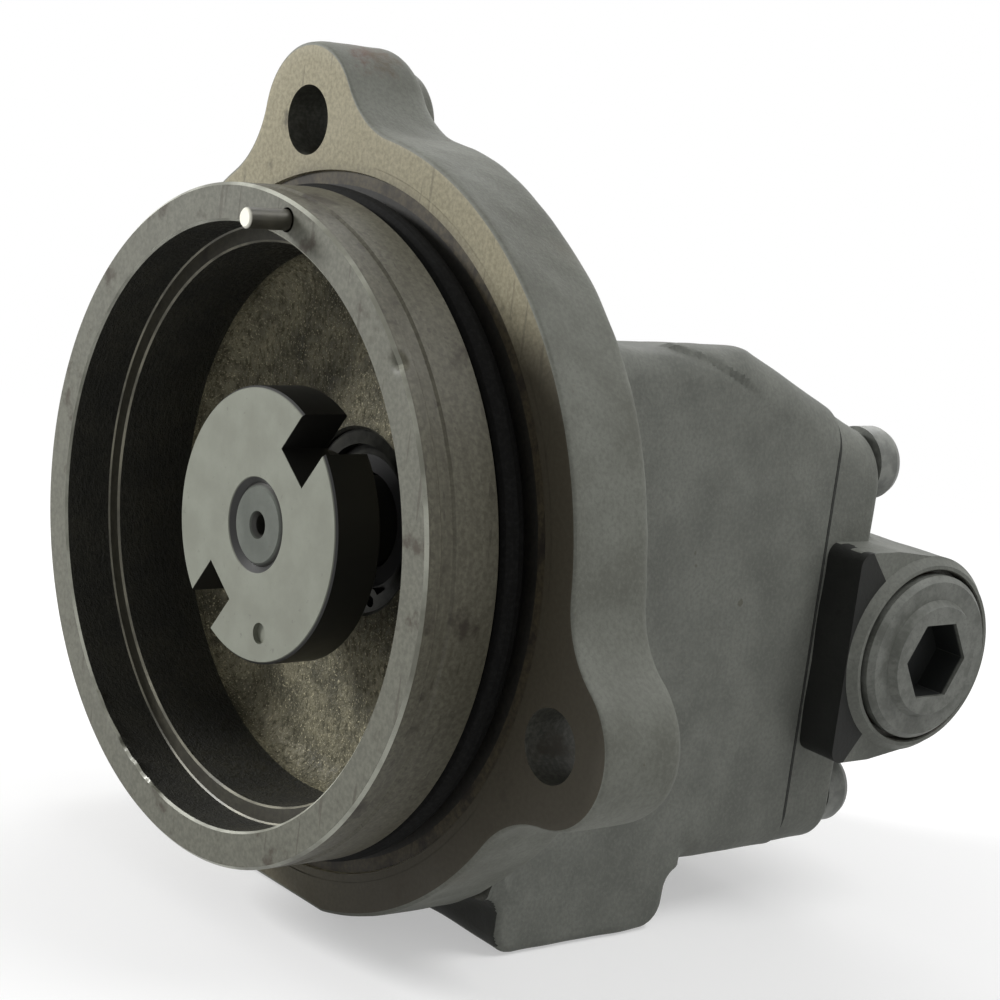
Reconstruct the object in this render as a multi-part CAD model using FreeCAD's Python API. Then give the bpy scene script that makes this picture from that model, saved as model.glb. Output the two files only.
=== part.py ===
import FreeCAD, Part
import math
import os

# Fuel gear pump, millimetres, +Z up.
# The drive shaft lies along Y and the drive end faces -Y.
# The origin is where the drive axis crosses the flange mounting face.

# Drive end: pilot, bell and flange
PILOT_R = 50.0
BELL_LEN = 18.0
RIM_WALL = 5.6
RIM_STEP, RIM_STEP_DEPTH = 2.75, 7.9
BELL_FLOOR = 7.0
BELL_FILLET = 4.0
BAND_FROM, BAND_TO, BAND_DEPTH = 2.4, 5.0, 0.35
GROOVE_W = 5.6
O_RING_D = 4.0
O_RING_STANDS = 0.5
FLANGE_LAND = 9.0
FLANGE_T = 14.2
FLANGE_EDGE = 2.4
FLANGE_FLAT_DEPTH = 2.1
FACE_RELIEF_W, FACE_RELIEF_DEPTH = 2.6, 0.5
EAR_COUNT = 3
EAR_ANGLE = 104.0
HOLE_SETBACK = 10.5
FLANGE_HOLE_R = 5.25
EAR_WALL = 5.75
EAR_BLEND = 16.0
TOP_BOSS_H, TOP_BOSS_STEP, TOP_BOSS_EDGE = 3.8, 1.0, 1.5

# Gears and shafts
TEETH = 13
MODULE = 2.0
PRESSURE_ANGLE = 25.0
TOOTH_THINNING = 0.06
GEAR_W = 16.0
SHAFT_R = 7.0
SHAFT_STEP = 0.75
KEY_W, KEY_H, KEY_LEN, KEY_SINK = 4.0, 4.0, 12.0, 2.5
CENTRE_DRILL_R, CENTRE_DRILL_DEPTH = 1.6, 6.0

# Named clearances
FIT = 0.02
RUNNING = 0.03
GEAR_TIP_GAP = 0.10
SIDE_GAP = 0.05
BLOCK_GAP = 0.05
KEY_GAP = 0.10
HOLE_GAP = 0.30

# Bearing blocks and bushes
BLOCK_FRONT_LEN = 16.9
BLOCK_REAR_LEN = 17.55
BUSH_WALL = 2.0
BUSH_SHORT = 0.2
BLOCK_SEAL_D = 2.0
BLOCK_SEAL_OUT = 1.2

# Gear case walls
CASE_SIDE_WALL = 9.0
CASE_FLOOR_WALL = 8.6
CASE_TOP_NEAR, CASE_TOP_FAR = 33.9, 22.5
CASE_EDGE = 7.0
SLOPE_LEN, SLOPE_RISE = 23.3, 0.5
SLOPE_FALL = 0.455

# Coupler
COUPLER_R = 20.6
COUPLER_T = 8.0
COUPLER_RECESS = 6.5
COUPLER_EDGE = 0.4
COUPLER_BORE_EDGE, HUB_EDGE = 1.0, 0.5
HUB_WALL = 4.75
HUB_LEN = 5.0
SLOT_W = 7.6
SLOT_BOTTOM_WALL = 1.8
SLOT_ANGLE = 53.5
DIMPLE_R, DIMPLE_DEPTH, DIMPLE_ANGLE = 1.6, 0.8, -75.2

# Shaft seals
SEAL_BUILD = 7.0
SEAL_W = 7.0
SEAL_SHELL = 1.0
CASE_LIP = 3.2
LIP_T, LIP_HEEL = 1.0, 0.4
LIP_LEN, LIP_EDGE = 5.6, 4.25
GARTER_R, GARTER_Y = 0.6, 4.6
RING_T = 1.2
RING_SINK = 0.8
RING_BITE = 1.0
RING_RADIAL = 3.2
SEAL_WALL = 1.2
SEAL_WALL_OUT = 4.0
WEEP_R = 1.5

# Ports and galleries
GALLERY_R = 6.0
GALLERY_OUT = 3.9
GALLERY_LEAD = 1.2
POCKET_X0, POCKET_HALF_Z = 6.0, 6.0
INLET_R = 10.2
INLET_DEPTH = 14.5
INLET_BACK = 9.0
INLET_SHIFT = 5.5
PAD_RIM, PAD_FAR_RIM = 7.0, 10.8
PAD_H = 8.7
PAD_EDGE, PAD_FOOT_EDGE = 5.0, 2.5
RISER_R, RISER_SHIFT = 5.5, 3.5
OUTLET_R = 8.2
OUTLET_SHORT = 1.0
OUTLET_BOSS_WALL, OUTLET_BOSS_H = 6.8, 3.0

# Rear cover, gasket and fastenings
GASKET_T = 0.5
COVER_T = 10.5
COVER_TOP_DROP = 10.0
COVER_STEP = 0.2
COVER_CORNER = 7.4
SCREW_EDGE_X, SCREW_EDGE_TOP, SCREW_EDGE_BOTTOM = 6.6, 10.0, 8.4
SCREW_R = 3.97
SCREW_LEN = 28.0
SCREW_HEAD_R, SCREW_HEAD_H = 5.95, 5.4
HEAD_EDGE = 1.6
SCREW_HEX, SCREW_HEX_DEPTH = 6.35, 3.6
DOWEL_R, DOWEL_LEN = 3.0, 12.0
DOWEL_EDGE_X = 10.0
DOWEL_BELOW_SCREW, DOWEL_ABOVE_SCREW = 11.9, 11.5
RIM_PIN_R, RIM_PIN_OUT, RIM_PIN_IN = 1.5, 7.0, 7.0
RIM_PIN_STEP, RIM_PIN_NECK, RIM_PIN_EDGE = 0.25, 0.3, 0.3
RIM_PIN_ANGLE = 79.0

# Relief valve
VALVE_SETBACK = 0.4
VALVE_DROP = 1.8
VALVE_WALL = 2.0
VALVE_FLARE, VALVE_FLARE_Y = 1.0, 9.0
VALVE_OVERHANG, VALVE_INSET = 7.5, 6.0
RIM_RAISE, RIM_SETBACK, RIM_BEVEL = 1.5, 0.1, 1.1
SEAT_FROM_PORT = 7.0
FEED_R, FEED_PAST_PORT = 6.5, 5.0
PISTON_R = 8.0
PISTON_LAND = 5.5
PISTON_STEM_R = 4.0
LAND_BORE = 5.0
VALVE_OPENING = 1.5
STEM_ENTRY = 4.5
CHAMBER_OUT = 1.2
PORT_DRILL_R = 4.0
PLUG_LEN = 19.0
PLUG_THREAD_R = 12.0
PLUG_COLLAR_OUT, PLUG_COLLAR_T = 1.6, 2.4
PLUG_HUB_R, PLUG_HUB_H = 9.4, 1.4
PLUG_HEX = 12.0
PLUG_HEX_DEPTH = 6.0
SPOT_OUT, SPOT_DEPTH = 0.7, 2.5
WASHER_T = 1.5
WIRE_R = 0.9
SPRING_OUT = 1.3
SPRING_TURNS = 7

# Derived radii of the drive end
RIM_BORE_R = PILOT_R - RIM_WALL
BELL_R = RIM_BORE_R - RIM_STEP
RIM_MEAN_R = (PILOT_R + RIM_BORE_R) / 2
GROOVE_R = PILOT_R + O_RING_STANDS - O_RING_D
FLANGE_R = PILOT_R + FLANGE_LAND
FLANGE_FLAT = FLANGE_FLAT_DEPTH - FLANGE_R
BOLT_CIRCLE_R = PILOT_R + HOLE_SETBACK
EAR_R = FLANGE_HOLE_R + EAR_WALL

# Derived gear and shaft sizes
CENTRES = MODULE * TEETH
IDLER_Z = -CENTRES
MID_Z = IDLER_Z / 2
GEAR_TIP_R = CENTRES / 2 + MODULE
CHAMBER_BORE_R = GEAR_TIP_R + GEAR_TIP_GAP
SHAFT_SEAT_R = SHAFT_R - SHAFT_STEP
BUSH_R = SHAFT_R + RUNNING + BUSH_WALL
SEAL_R = SHAFT_R + SEAL_BUILD
SEAL_WALL_R = SHAFT_R + SEAL_WALL_OUT
HUB_R = SHAFT_SEAT_R + HUB_WALL
SLOT_BOTTOM_R = HUB_R + SLOT_BOTTOM_WALL
DIMPLE_AT_R = (HUB_R + COUPLER_R) / 2 + 0.2

# Derived stations along the drive axis, from the drive end to the rear
RIM_Y = -BELL_LEN
COUPLER_Y = RIM_Y + COUPLER_RECESS
COUPLER_END = COUPLER_Y + COUPLER_T
SHAFT_FRONT = COUPLER_Y + COUPLER_EDGE
SHOULDER_Y = COUPLER_END + HUB_LEN
RING_Y = BELL_FLOOR + RING_SINK
OUTER_SEAL_Y = RING_Y + RING_T
SEAL_WALL_Y = OUTER_SEAL_Y + SEAL_W
INNER_SEAL_Y = SEAL_WALL_Y + SEAL_WALL
CHAMBER_Y = INNER_SEAL_Y + SEAL_W
GEAR_Y = CHAMBER_Y + BLOCK_FRONT_LEN + SIDE_GAP
GEAR_END = GEAR_Y + GEAR_W
GEAR_MID_Y = (GEAR_Y + GEAR_END) / 2
BLOCK_REAR_Y = GEAR_END + SIDE_GAP
BLOCK_END = BLOCK_REAR_Y + BLOCK_REAR_LEN
COVER_Y = BLOCK_END + SIDE_GAP
CASE_REAR = COVER_Y - GASKET_T
COVER_END = COVER_Y + COVER_T
SHAFT_END = CASE_REAR - 0.8

# Derived case and port positions
GALLERY_X = CHAMBER_BORE_R + GALLERY_OUT
CASE_HALF_W = GALLERY_X + GALLERY_R + CASE_SIDE_WALL
CASE_BOTTOM = IDLER_Z - CHAMBER_BORE_R - CASE_FLOOR_WALL
SLOPE_FROM_Y, SLOPE_FROM_Z = CASE_REAR - SLOPE_LEN, CASE_TOP_NEAR + SLOPE_RISE
INLET_Y = CHAMBER_Y + INLET_BACK
RISER_X = GALLERY_X + RISER_SHIFT
INLET_X = RISER_X - INLET_SHIFT
GALLERY_FROM = INLET_Y - RISER_R - GALLERY_LEAD
PAD_BOTTOM = CASE_BOTTOM - PAD_H
PAD_HALF_Y = INLET_R + PAD_RIM
PAD_X0 = INLET_X - INLET_R - PAD_FAR_RIM
OUTLET_BOSS_R = OUTLET_R + OUTLET_BOSS_WALL
OUTLET_X = -CASE_HALF_W - OUTLET_BOSS_H
OUTLET_END_X = -GALLERY_X - OUTLET_SHORT

# Derived cover and fastening positions
COVER_TOP = CASE_TOP_NEAR - COVER_TOP_DROP
COVER_BOTTOM = CASE_BOTTOM - COVER_STEP
SCREW_X = CASE_HALF_W - SCREW_EDGE_X
SCREW_UP, SCREW_DOWN = COVER_TOP - SCREW_EDGE_TOP, COVER_BOTTOM + SCREW_EDGE_BOTTOM
SCREWS = [(sx * SCREW_X, z) for sx in (-1, 1) for z in (SCREW_DOWN, SCREW_UP)]
DOWEL_X = CASE_HALF_W - DOWEL_EDGE_X
DOWELS = [(-DOWEL_X, SCREW_UP - DOWEL_BELOW_SCREW), (DOWEL_X, SCREW_DOWN + DOWEL_ABOVE_SCREW)]

# Derived relief valve sizes and its positions along X
PLUG_COLLAR_R = PLUG_THREAD_R + PLUG_COLLAR_OUT
SPOT_R = PLUG_COLLAR_R + SPOT_OUT
VALVE_R = SPOT_R + VALVE_WALL
VALVE_Y = COVER_Y + VALVE_SETBACK + VALVE_R
VALVE_Z = MID_Z - VALVE_DROP
VALVE_HALF_Z = VALVE_R + VALVE_FLARE
VALVE_X0, VALVE_X1 = VALVE_INSET - CASE_HALF_W, CASE_HALF_W + VALVE_OVERHANG
FACE_X = VALVE_X1 + RIM_RAISE
SEAT_X = SEAT_FROM_PORT - GALLERY_X
FEED_END = -GALLERY_X - FEED_PAST_PORT
CHAMBER_R = PISTON_R + CHAMBER_OUT
PISTON_STROKE = LAND_BORE + VALVE_OPENING
PLUG_IN = FACE_X - PLUG_LEN
SPOT_X = FACE_X - SPOT_DEPTH
COLLAR_X = SPOT_X + WASHER_T
COLLAR_END = COLLAR_X + PLUG_COLLAR_T
GUIDE_END = PLUG_IN + STEM_ENTRY + PISTON_STROKE + 0.6
STEM_END = PLUG_IN + STEM_ENTRY
SPRING_R = PISTON_STEM_R + WIRE_R + SPRING_OUT


def vec(x, y, z):
    return FreeCAD.Vector(x, y, z)


def rod_x(radius, x0, x1, y, z):
    return Part.makeCylinder(radius, x1 - x0, vec(x0, y, z), vec(1, 0, 0))


def rod_y(radius, y0, y1, x=0.0, z=0.0):
    return Part.makeCylinder(radius, y1 - y0, vec(x, y0, z), vec(0, 1, 0))


def rod_z(radius, z0, z1, x, y):
    return Part.makeCylinder(radius, z1 - z0, vec(x, y, z0), vec(0, 0, 1))


def block(x0, x1, y0, y1, z0, z1):
    return Part.makeBox(x1 - x0, y1 - y0, z1 - z0, vec(x0, y0, z0))


def fuse(first, *others):
    shape = first
    for other in others:
        shape = shape.fuse(other)
    return shape.removeSplitter()


def spin(profile, z=0.0):
    """Turns a closed (radius, y) profile about the line through (0, z) along Y."""
    wire = Part.makePolygon([vec(r, y, z) for r, y in profile + profile[:1]])
    return Part.Face(wire).revolve(vec(0, 0, z), vec(0, 1, 0), 360)


def spin_x(profile, y, z):
    """Turns a closed (x, radius) profile about the line through (y, z) along X."""
    wire = Part.makePolygon([vec(x, y, z + r) for x, r in profile + profile[:1]])
    return Part.Face(wire).revolve(vec(0, y, z), vec(1, 0, 0), 360)


def polar(radius, degrees):
    a = math.radians(degrees)
    return radius * math.cos(a), radius * math.sin(a)


def prism_y(points, y0, y1):
    wire = Part.makePolygon([vec(x, y0, z) for x, z in points + points[:1]])
    return Part.Face(wire).extrude(vec(0, y1 - y0, 0))


def prism_x(points, x0, x1):
    wire = Part.makePolygon([vec(x0, y, z) for y, z in points + points[:1]])
    return Part.Face(wire).extrude(vec(x1 - x0, 0, 0))


def hexagon(flats):
    corner = flats / math.sqrt(3)
    return [polar(corner, 60 * k) for k in range(6)]


def rounded(shape, radius, keep):
    """Rounds the edges whose middle point passes the keep test."""
    edges = [e for e in shape.Edges if keep(e.valueAt((e.FirstParameter + e.LastParameter) / 2))]
    return shape.makeFillet(radius, edges)


def flange_plate():
    """Round flange with three ears blended into it, rounded at the rear and cut flat below."""
    plate = rod_y(FLANGE_R, 0, FLANGE_T)
    for k in range(EAR_COUNT):
        angle = EAR_ANGLE + 360.0 / EAR_COUNT * k
        x, z = polar(BOLT_CIRCLE_R, angle)
        ux, uz = polar(1.0, angle)
        sides = [(x - EAR_R * s * uz, z + EAR_R * s * ux) for s in (-1, 1)]
        inward = EAR_R + FLANGE_LAND
        feet = [(a - inward * ux, b - inward * uz) for a, b in reversed(sides)]
        plate = plate.fuse(rod_y(EAR_R, 0, FLANGE_T, x, z)).fuse(prism_y(sides + feet, 0, FLANGE_T))
    plate = plate.removeSplitter()
    plate = rounded(plate, EAR_BLEND, is_ear_root)
    plate = rounded(plate, FLANGE_EDGE, lambda p: p.y > FLANGE_T - 0.1)
    x, z = polar(BOLT_CIRCLE_R, EAR_ANGLE)
    boss_end = FLANGE_T + TOP_BOSS_H
    boss = rod_y(EAR_R - TOP_BOSS_STEP, FLANGE_T / 2, boss_end, x, z)
    plate = plate.fuse(rounded(boss, TOP_BOSS_EDGE, lambda p: p.y > boss_end - 0.1))
    below = block(-FLANGE_R, FLANGE_R, -1, FLANGE_T + 1, FLANGE_FLAT - EAR_R, FLANGE_FLAT)
    return plate.cut(below)


def is_ear_root(p):
    """True for the corners where an ear leaves the round flange."""
    if not 1 < p.y < FLANGE_T - 1:
        return False
    return abs(math.hypot(p.x, p.z) - FLANGE_R) < 0.5


def pilot_ring():
    """Bell wall with its machined pilot, the relieved band and the O-ring groove."""
    band0, band1 = RIM_Y + BAND_FROM, RIM_Y + BAND_TO
    profile = [(0, RIM_Y), (PILOT_R - 0.8, RIM_Y), (PILOT_R, RIM_Y + 0.8), (PILOT_R, band0),
               (PILOT_R - BAND_DEPTH, band0 + BAND_DEPTH), (PILOT_R - BAND_DEPTH, band1 - BAND_DEPTH),
               (PILOT_R, band1), (PILOT_R, -GROOVE_W), (GROOVE_R, -GROOVE_W), (GROOVE_R, 0.6), (0, 0.6)]
    return spin(profile)


def bell_hollow():
    step_y = RIM_Y + RIM_STEP_DEPTH
    deep = rod_y(BELL_R, step_y - 1, BELL_FLOOR)
    deep = rounded(deep, BELL_FILLET, lambda p: p.y > BELL_FLOOR - 0.1)
    return rod_y(RIM_BORE_R, RIM_Y - 1, step_y).fuse(deep)


def slope_wedge():
    """Everything above the line that falls from the case top to the rear cover."""
    y1 = COVER_END + COVER_T
    z1 = SLOPE_FROM_Z - SLOPE_FALL * (y1 - SLOPE_FROM_Y)
    above = SLOPE_FROM_Z + CASE_EDGE
    line = [(SLOPE_FROM_Y, SLOPE_FROM_Z), (y1, z1), (y1, above), (SLOPE_FROM_Y, above)]
    return prism_x(line, -CASE_HALF_W - CASE_EDGE, CASE_HALF_W + CASE_EDGE)


def gear_case():
    w = CASE_HALF_W
    outline = [(-w, CASE_BOTTOM), (w, CASE_BOTTOM), (w, CASE_TOP_NEAR), (-w, CASE_TOP_FAR)]
    case = prism_y(outline, FLANGE_T, CASE_REAR)
    case = rounded(case, CASE_EDGE, lambda p: FLANGE_T + 1 < p.y < CASE_REAR - 1)
    case = case.cut(slope_wedge())
    pad_top = CASE_BOTTOM + CASE_FLOOR_WALL
    pad = block(PAD_X0, w, INLET_Y - PAD_HALF_Y, INLET_Y + PAD_HALF_Y, PAD_BOTTOM, pad_top)
    pad = rounded(pad, PAD_EDGE, lambda p: PAD_BOTTOM + 1 < p.z < pad_top - 1)
    pad = rounded(pad, PAD_FOOT_EDGE, lambda p: p.z < PAD_BOTTOM + 0.1)
    boss = rod_x(OUTLET_BOSS_R, OUTLET_X, 0, GEAR_MID_Y, MID_Z)
    return fuse(case, pad, boss)


def figure_eight(radius, y0, y1):
    """Two round bores side by side, as the two gears need."""
    return rod_y(radius, y0, y1).fuse(rod_y(radius, y0, y1, 0, IDLER_Z)).removeSplitter()


def hollowed(shape):
    """Cuts every bore, seat, gallery and pocket of the casting out of one of its halves."""
    pocket0, pocket1 = MID_Z - POCKET_HALF_Z, MID_Z + POCKET_HALF_Z
    relief = rod_y(PILOT_R + FACE_RELIEF_W, -0.1, FACE_RELIEF_DEPTH).cut(rod_y(GROOVE_R, -1, 1))
    hollows = [bell_hollow(), relief,
               rod_y(SEAL_R + FIT, BELL_FLOOR - 1, SEAL_WALL_Y),
               rod_y(SEAL_R + RING_BITE, RING_Y, OUTER_SEAL_Y),
               rod_y(SEAL_WALL_R, SEAL_WALL_Y - 1, INNER_SEAL_Y + 1),
               rod_y(SEAL_R + FIT, INNER_SEAL_Y, CHAMBER_Y + 1),
               rod_x(WEEP_R, -CASE_HALF_W - 1, 0, SEAL_WALL_Y + SEAL_WALL / 2 + 0.4, 0),
               figure_eight(CHAMBER_BORE_R, CHAMBER_Y, CASE_REAR + 1),
               rod_y(GALLERY_R, GALLERY_FROM, CASE_REAR + 1, GALLERY_X, MID_Z),
               rod_y(GALLERY_R, GEAR_Y, CASE_REAR + 1, -GALLERY_X, MID_Z),
               block(POCKET_X0, GALLERY_X, GEAR_Y, GEAR_END, pocket0, pocket1),
               block(-GALLERY_X, -POCKET_X0, GEAR_Y, GEAR_END, pocket0, pocket1),
               rod_z(INLET_R, PAD_BOTTOM - 1, PAD_BOTTOM + INLET_DEPTH, INLET_X, INLET_Y),
               rod_z(RISER_R, PAD_BOTTOM + INLET_DEPTH - 2, MID_Z, RISER_X, INLET_Y),
               rod_x(OUTLET_R, OUTLET_X - 1, OUTLET_END_X, GEAR_MID_Y, MID_Z)]
    for x, z in SCREWS:
        hollows.append(rod_y(SCREW_R + FIT, COVER_END - SCREW_LEN - 2, CASE_REAR + 1, x, z))
    for x, z in DOWELS:
        hollows.append(rod_y(DOWEL_R + FIT, CASE_REAR - DOWEL_LEN / 2 - 0.5, CASE_REAR + 1, x, z))
    x, z = polar(RIM_MEAN_R, RIM_PIN_ANGLE)
    hollows.append(rod_y(RIM_PIN_R + RIM_PIN_STEP + FIT, RIM_Y - 1, RIM_Y + RIM_PIN_IN + 0.5, x, z))
    for k in range(EAR_COUNT):
        x, z = polar(BOLT_CIRCLE_R, EAR_ANGLE + 360.0 / EAR_COUNT * k)
        hollows.append(rod_y(FLANGE_HOLE_R, -1, FLANGE_T + TOP_BOSS_H + 1, x, z))
    for hollow in hollows:
        shape = shape.cut(hollow)
    return shape


def pump_flange():
    """Front of the casting: pilot, bell and eared flange, as far as the flange's rear face."""
    return hollowed(fuse(flange_plate(), pilot_ring()))


def pump_body():
    """Rest of the same casting: gear chamber, rear seal seat, galleries, ports and cover face."""
    return hollowed(gear_case())


def cord_ring(mid_r, cord_r, y, sides):
    """Ring of round cord, its section drawn with the given number of sides."""
    corners = [polar(cord_r, 360.0 * k / sides) for k in range(sides)]
    return spin([(mid_r + a, y + b) for a, b in corners])


def rim_dowel_pin():
    """Stepped pin: a thicker shank pressed into the rim, a small neck and the free end."""
    x, z = polar(RIM_MEAN_R, RIM_PIN_ANGLE)
    shank, neck = RIM_PIN_R + RIM_PIN_STEP, RIM_PIN_R - RIM_PIN_NECK
    neck_y = RIM_Y - RIM_PIN_NECK / 2
    pin = spin([(0, RIM_Y - RIM_PIN_OUT), (RIM_PIN_R - RIM_PIN_EDGE, RIM_Y - RIM_PIN_OUT),
                (RIM_PIN_R, RIM_Y - RIM_PIN_OUT + RIM_PIN_EDGE), (RIM_PIN_R, neck_y),
                (neck, neck_y), (neck, RIM_Y), (shank, RIM_Y),
                (shank, RIM_Y + RIM_PIN_IN), (0, RIM_Y + RIM_PIN_IN)])
    pin.translate(vec(x, 0, z))
    return pin


def pilot_o_ring():
    return cord_ring(GROOVE_R + FIT + O_RING_D / 2, O_RING_D / 2, -GROOVE_W / 2, 14)


def drive_coupler():
    """Slotted drive disc with its hub, bored and chamfered for the shaft."""
    edge = COUPLER_EDGE
    disc = spin([(0, COUPLER_Y), (COUPLER_R - edge, COUPLER_Y), (COUPLER_R, COUPLER_Y + edge),
                 (COUPLER_R, COUPLER_END - edge), (COUPLER_R - edge, COUPLER_END), (HUB_R, COUPLER_END),
                 (HUB_R, SHOULDER_Y - HUB_EDGE), (HUB_R - HUB_EDGE, SHOULDER_Y), (0, SHOULDER_Y)])
    bore = rod_y(SHAFT_SEAT_R + FIT / 2, COUPLER_Y - 1, SHOULDER_Y + 1)
    mouth = Part.makeCone(SHAFT_SEAT_R + COUPLER_BORE_EDGE, SHAFT_SEAT_R, COUPLER_BORE_EDGE,
                          vec(0, COUPLER_Y, 0), vec(0, 1, 0))
    slot = block(SLOT_BOTTOM_R, COUPLER_R + 1, COUPLER_Y - 1, COUPLER_END + 0.01, -SLOT_W / 2, SLOT_W / 2)
    shape = disc.cut(bore).cut(mouth)
    for turn in (0, 180):
        tool = slot.copy()
        tool.rotate(vec(0, 0, 0), vec(0, 1, 0), -(SLOT_ANGLE + turn))
        shape = shape.cut(tool)
    x, z = polar(DIMPLE_AT_R, DIMPLE_ANGLE)
    return shape.cut(rod_y(DIMPLE_R, COUPLER_Y - 1, COUPLER_Y + DIMPLE_DEPTH, x, z))


def key_box(gap):
    top = SHAFT_R - KEY_SINK + KEY_H
    half = KEY_LEN / 2 + gap
    return block(-KEY_W / 2 - gap, KEY_W / 2 + gap, GEAR_MID_Y - half, GEAR_MID_Y + half,
                 SHAFT_R - KEY_SINK - gap, top + gap)


def drive_shaft():
    profile = [(0, SHAFT_FRONT), (SHAFT_SEAT_R - 0.6, SHAFT_FRONT), (SHAFT_SEAT_R, SHAFT_FRONT + 0.6),
               (SHAFT_SEAT_R, SHOULDER_Y + 0.1), (SHAFT_R, SHOULDER_Y + 0.1 + SHAFT_R - SHAFT_SEAT_R),
               (SHAFT_R, SHAFT_END - 1), (SHAFT_R - 1, SHAFT_END), (0, SHAFT_END)]
    drill = Part.makeCone(CENTRE_DRILL_R + 0.5, CENTRE_DRILL_R, 0.9, vec(0, SHAFT_FRONT, 0), vec(0, 1, 0))
    drill = drill.fuse(rod_y(CENTRE_DRILL_R, SHAFT_FRONT, SHAFT_FRONT + CENTRE_DRILL_DEPTH))
    return spin(profile).cut(drill).cut(key_box(FIT))


def idler_shaft():
    y0 = CHAMBER_Y + 0.4
    profile = [(0, y0), (SHAFT_R - 1, y0), (SHAFT_R, y0 + 1), (SHAFT_R, SHAFT_END - 1),
               (SHAFT_R - 1, SHAFT_END), (0, SHAFT_END)]
    return spin(profile, IDLER_Z)


def gear_blank(x, z, tooth_at, thinning):
    """Spur gear from true involute flanks; one tooth is centred on the angle tooth_at."""
    pitch_r = MODULE * TEETH / 2
    base_r = pitch_r * math.cos(math.radians(PRESSURE_ANGLE))
    root_r = pitch_r - 1.25 * MODULE
    tip_r = pitch_r + MODULE
    roll = math.tan(math.radians(PRESSURE_ANGLE)) - math.radians(PRESSURE_ANGLE)
    half = math.pi / 2 / TEETH - thinning / 2 / pitch_r

    def half_angle(radius):
        a = math.acos(min(1.0, base_r / radius))
        return half + roll - (math.tan(a) - a)

    steps = 6
    radii = [base_r + (tip_r - base_r) * k / steps for k in range(steps + 1)]
    points = []
    for tooth in range(TEETH):
        centre = math.radians(tooth_at) + 2 * math.pi * tooth / TEETH
        flank = [(root_r, half_angle(base_r) + 0.03)] + [(r, half_angle(r)) for r in radii]
        for r, a in flank:
            points.append((x + r * math.cos(centre - a), z + r * math.sin(centre - a)))
        for r, a in reversed(flank):
            points.append((x + r * math.cos(centre + a), z + r * math.sin(centre + a)))
    return prism_y(points, GEAR_Y, GEAR_END)


def drive_gear():
    gear = gear_blank(0, 0, -90, TOOTH_THINNING)
    way = block(-KEY_W / 2 - FIT, KEY_W / 2 + FIT, GEAR_Y - 1, GEAR_END + 1, 0,
                SHAFT_R - KEY_SINK + KEY_H + KEY_GAP)
    return gear.cut(rod_y(SHAFT_R + FIT / 2, GEAR_Y - 1, GEAR_END + 1)).cut(way)


def idler_gear():
    gear = gear_blank(0, IDLER_Z, 90 + 180.0 / TEETH, TOOTH_THINNING)
    return gear.cut(rod_y(SHAFT_R + FIT / 2, GEAR_Y - 1, GEAR_END + 1, 0, IDLER_Z))


def bearing_block(y0, y1):
    shape = figure_eight(CHAMBER_BORE_R - BLOCK_GAP, y0, y1)
    for z in (0, IDLER_Z):
        shape = shape.cut(rod_y(BUSH_R + FIT, y0 - 1, y1 + 1, 0, z))
    return shape


def front_bearing_block():
    return bearing_block(CHAMBER_Y, CHAMBER_Y + BLOCK_FRONT_LEN)


def seal_track(gap, end):
    """Two rings round the bushes in the rear face of the rear block."""
    rings = []
    inner, outer = BUSH_R + BLOCK_SEAL_OUT - gap, BUSH_R + BLOCK_SEAL_OUT + BLOCK_SEAL_D + gap
    for z in (0, IDLER_Z):
        ring = rod_y(outer, BLOCK_END - BLOCK_SEAL_D - gap, end, 0, z)
        rings.append(ring.cut(rod_y(inner, BLOCK_END - BLOCK_SEAL_D - 1, end + 1, 0, z)))
    return rings


def rear_bearing_block():
    shape = bearing_block(BLOCK_REAR_Y, BLOCK_END)
    for ring in seal_track(FIT, BLOCK_END + 1):
        shape = shape.cut(ring)
    return shape


def block_seals():
    return Part.makeCompound(seal_track(0, COVER_Y))


def bush(y0, y1, z):
    return rod_y(BUSH_R, y0, y1, 0, z).cut(rod_y(SHAFT_R + RUNNING, y0 - 1, y1 + 1, 0, z))


def bush_pair(front):
    if front:
        return CHAMBER_Y + BUSH_SHORT, CHAMBER_Y + BLOCK_FRONT_LEN - BUSH_SHORT
    return BLOCK_REAR_Y + BUSH_SHORT, BLOCK_END - BUSH_SHORT


def seal_parts(y0, flip):
    """Case, rubber lip and garter spring of one shaft seal; flip turns its open side to +Y."""
    def at(y):
        return y0 + SEAL_W - y if flip else y0 + y

    def ring(profile):
        return spin([(r, at(y)) for r, y in profile])

    inner = SHAFT_R + CASE_LIP
    edge, root, heel = SHAFT_R + RUNNING, SHAFT_R + LIP_T + LIP_HEEL, SEAL_SHELL + LIP_HEEL
    case = ring([(SEAL_R, 0), (SEAL_R, SEAL_W), (SEAL_R - SEAL_SHELL, SEAL_W),
                 (SEAL_R - SEAL_SHELL, SEAL_SHELL), (inner, SEAL_SHELL), (inner, 0)])
    lip = ring([(inner - FIT, 0), (inner - FIT, SEAL_SHELL + FIT), (inner, heel + LIP_T),
                (inner - LIP_HEEL, LIP_LEN), (inner - LIP_HEEL - LIP_T, LIP_LEN),
                (edge, LIP_EDGE + RUNNING), (edge, LIP_EDGE - RUNNING), (root, heel + LIP_T / 2),
                (root, SEAL_SHELL), (SHAFT_R + LIP_HEEL, LIP_HEEL), (SHAFT_R + LIP_HEEL * 1.5, 0)])
    return case, lip, cord_ring(inner + GARTER_R, GARTER_R, at(GARTER_Y), 8)


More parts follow.
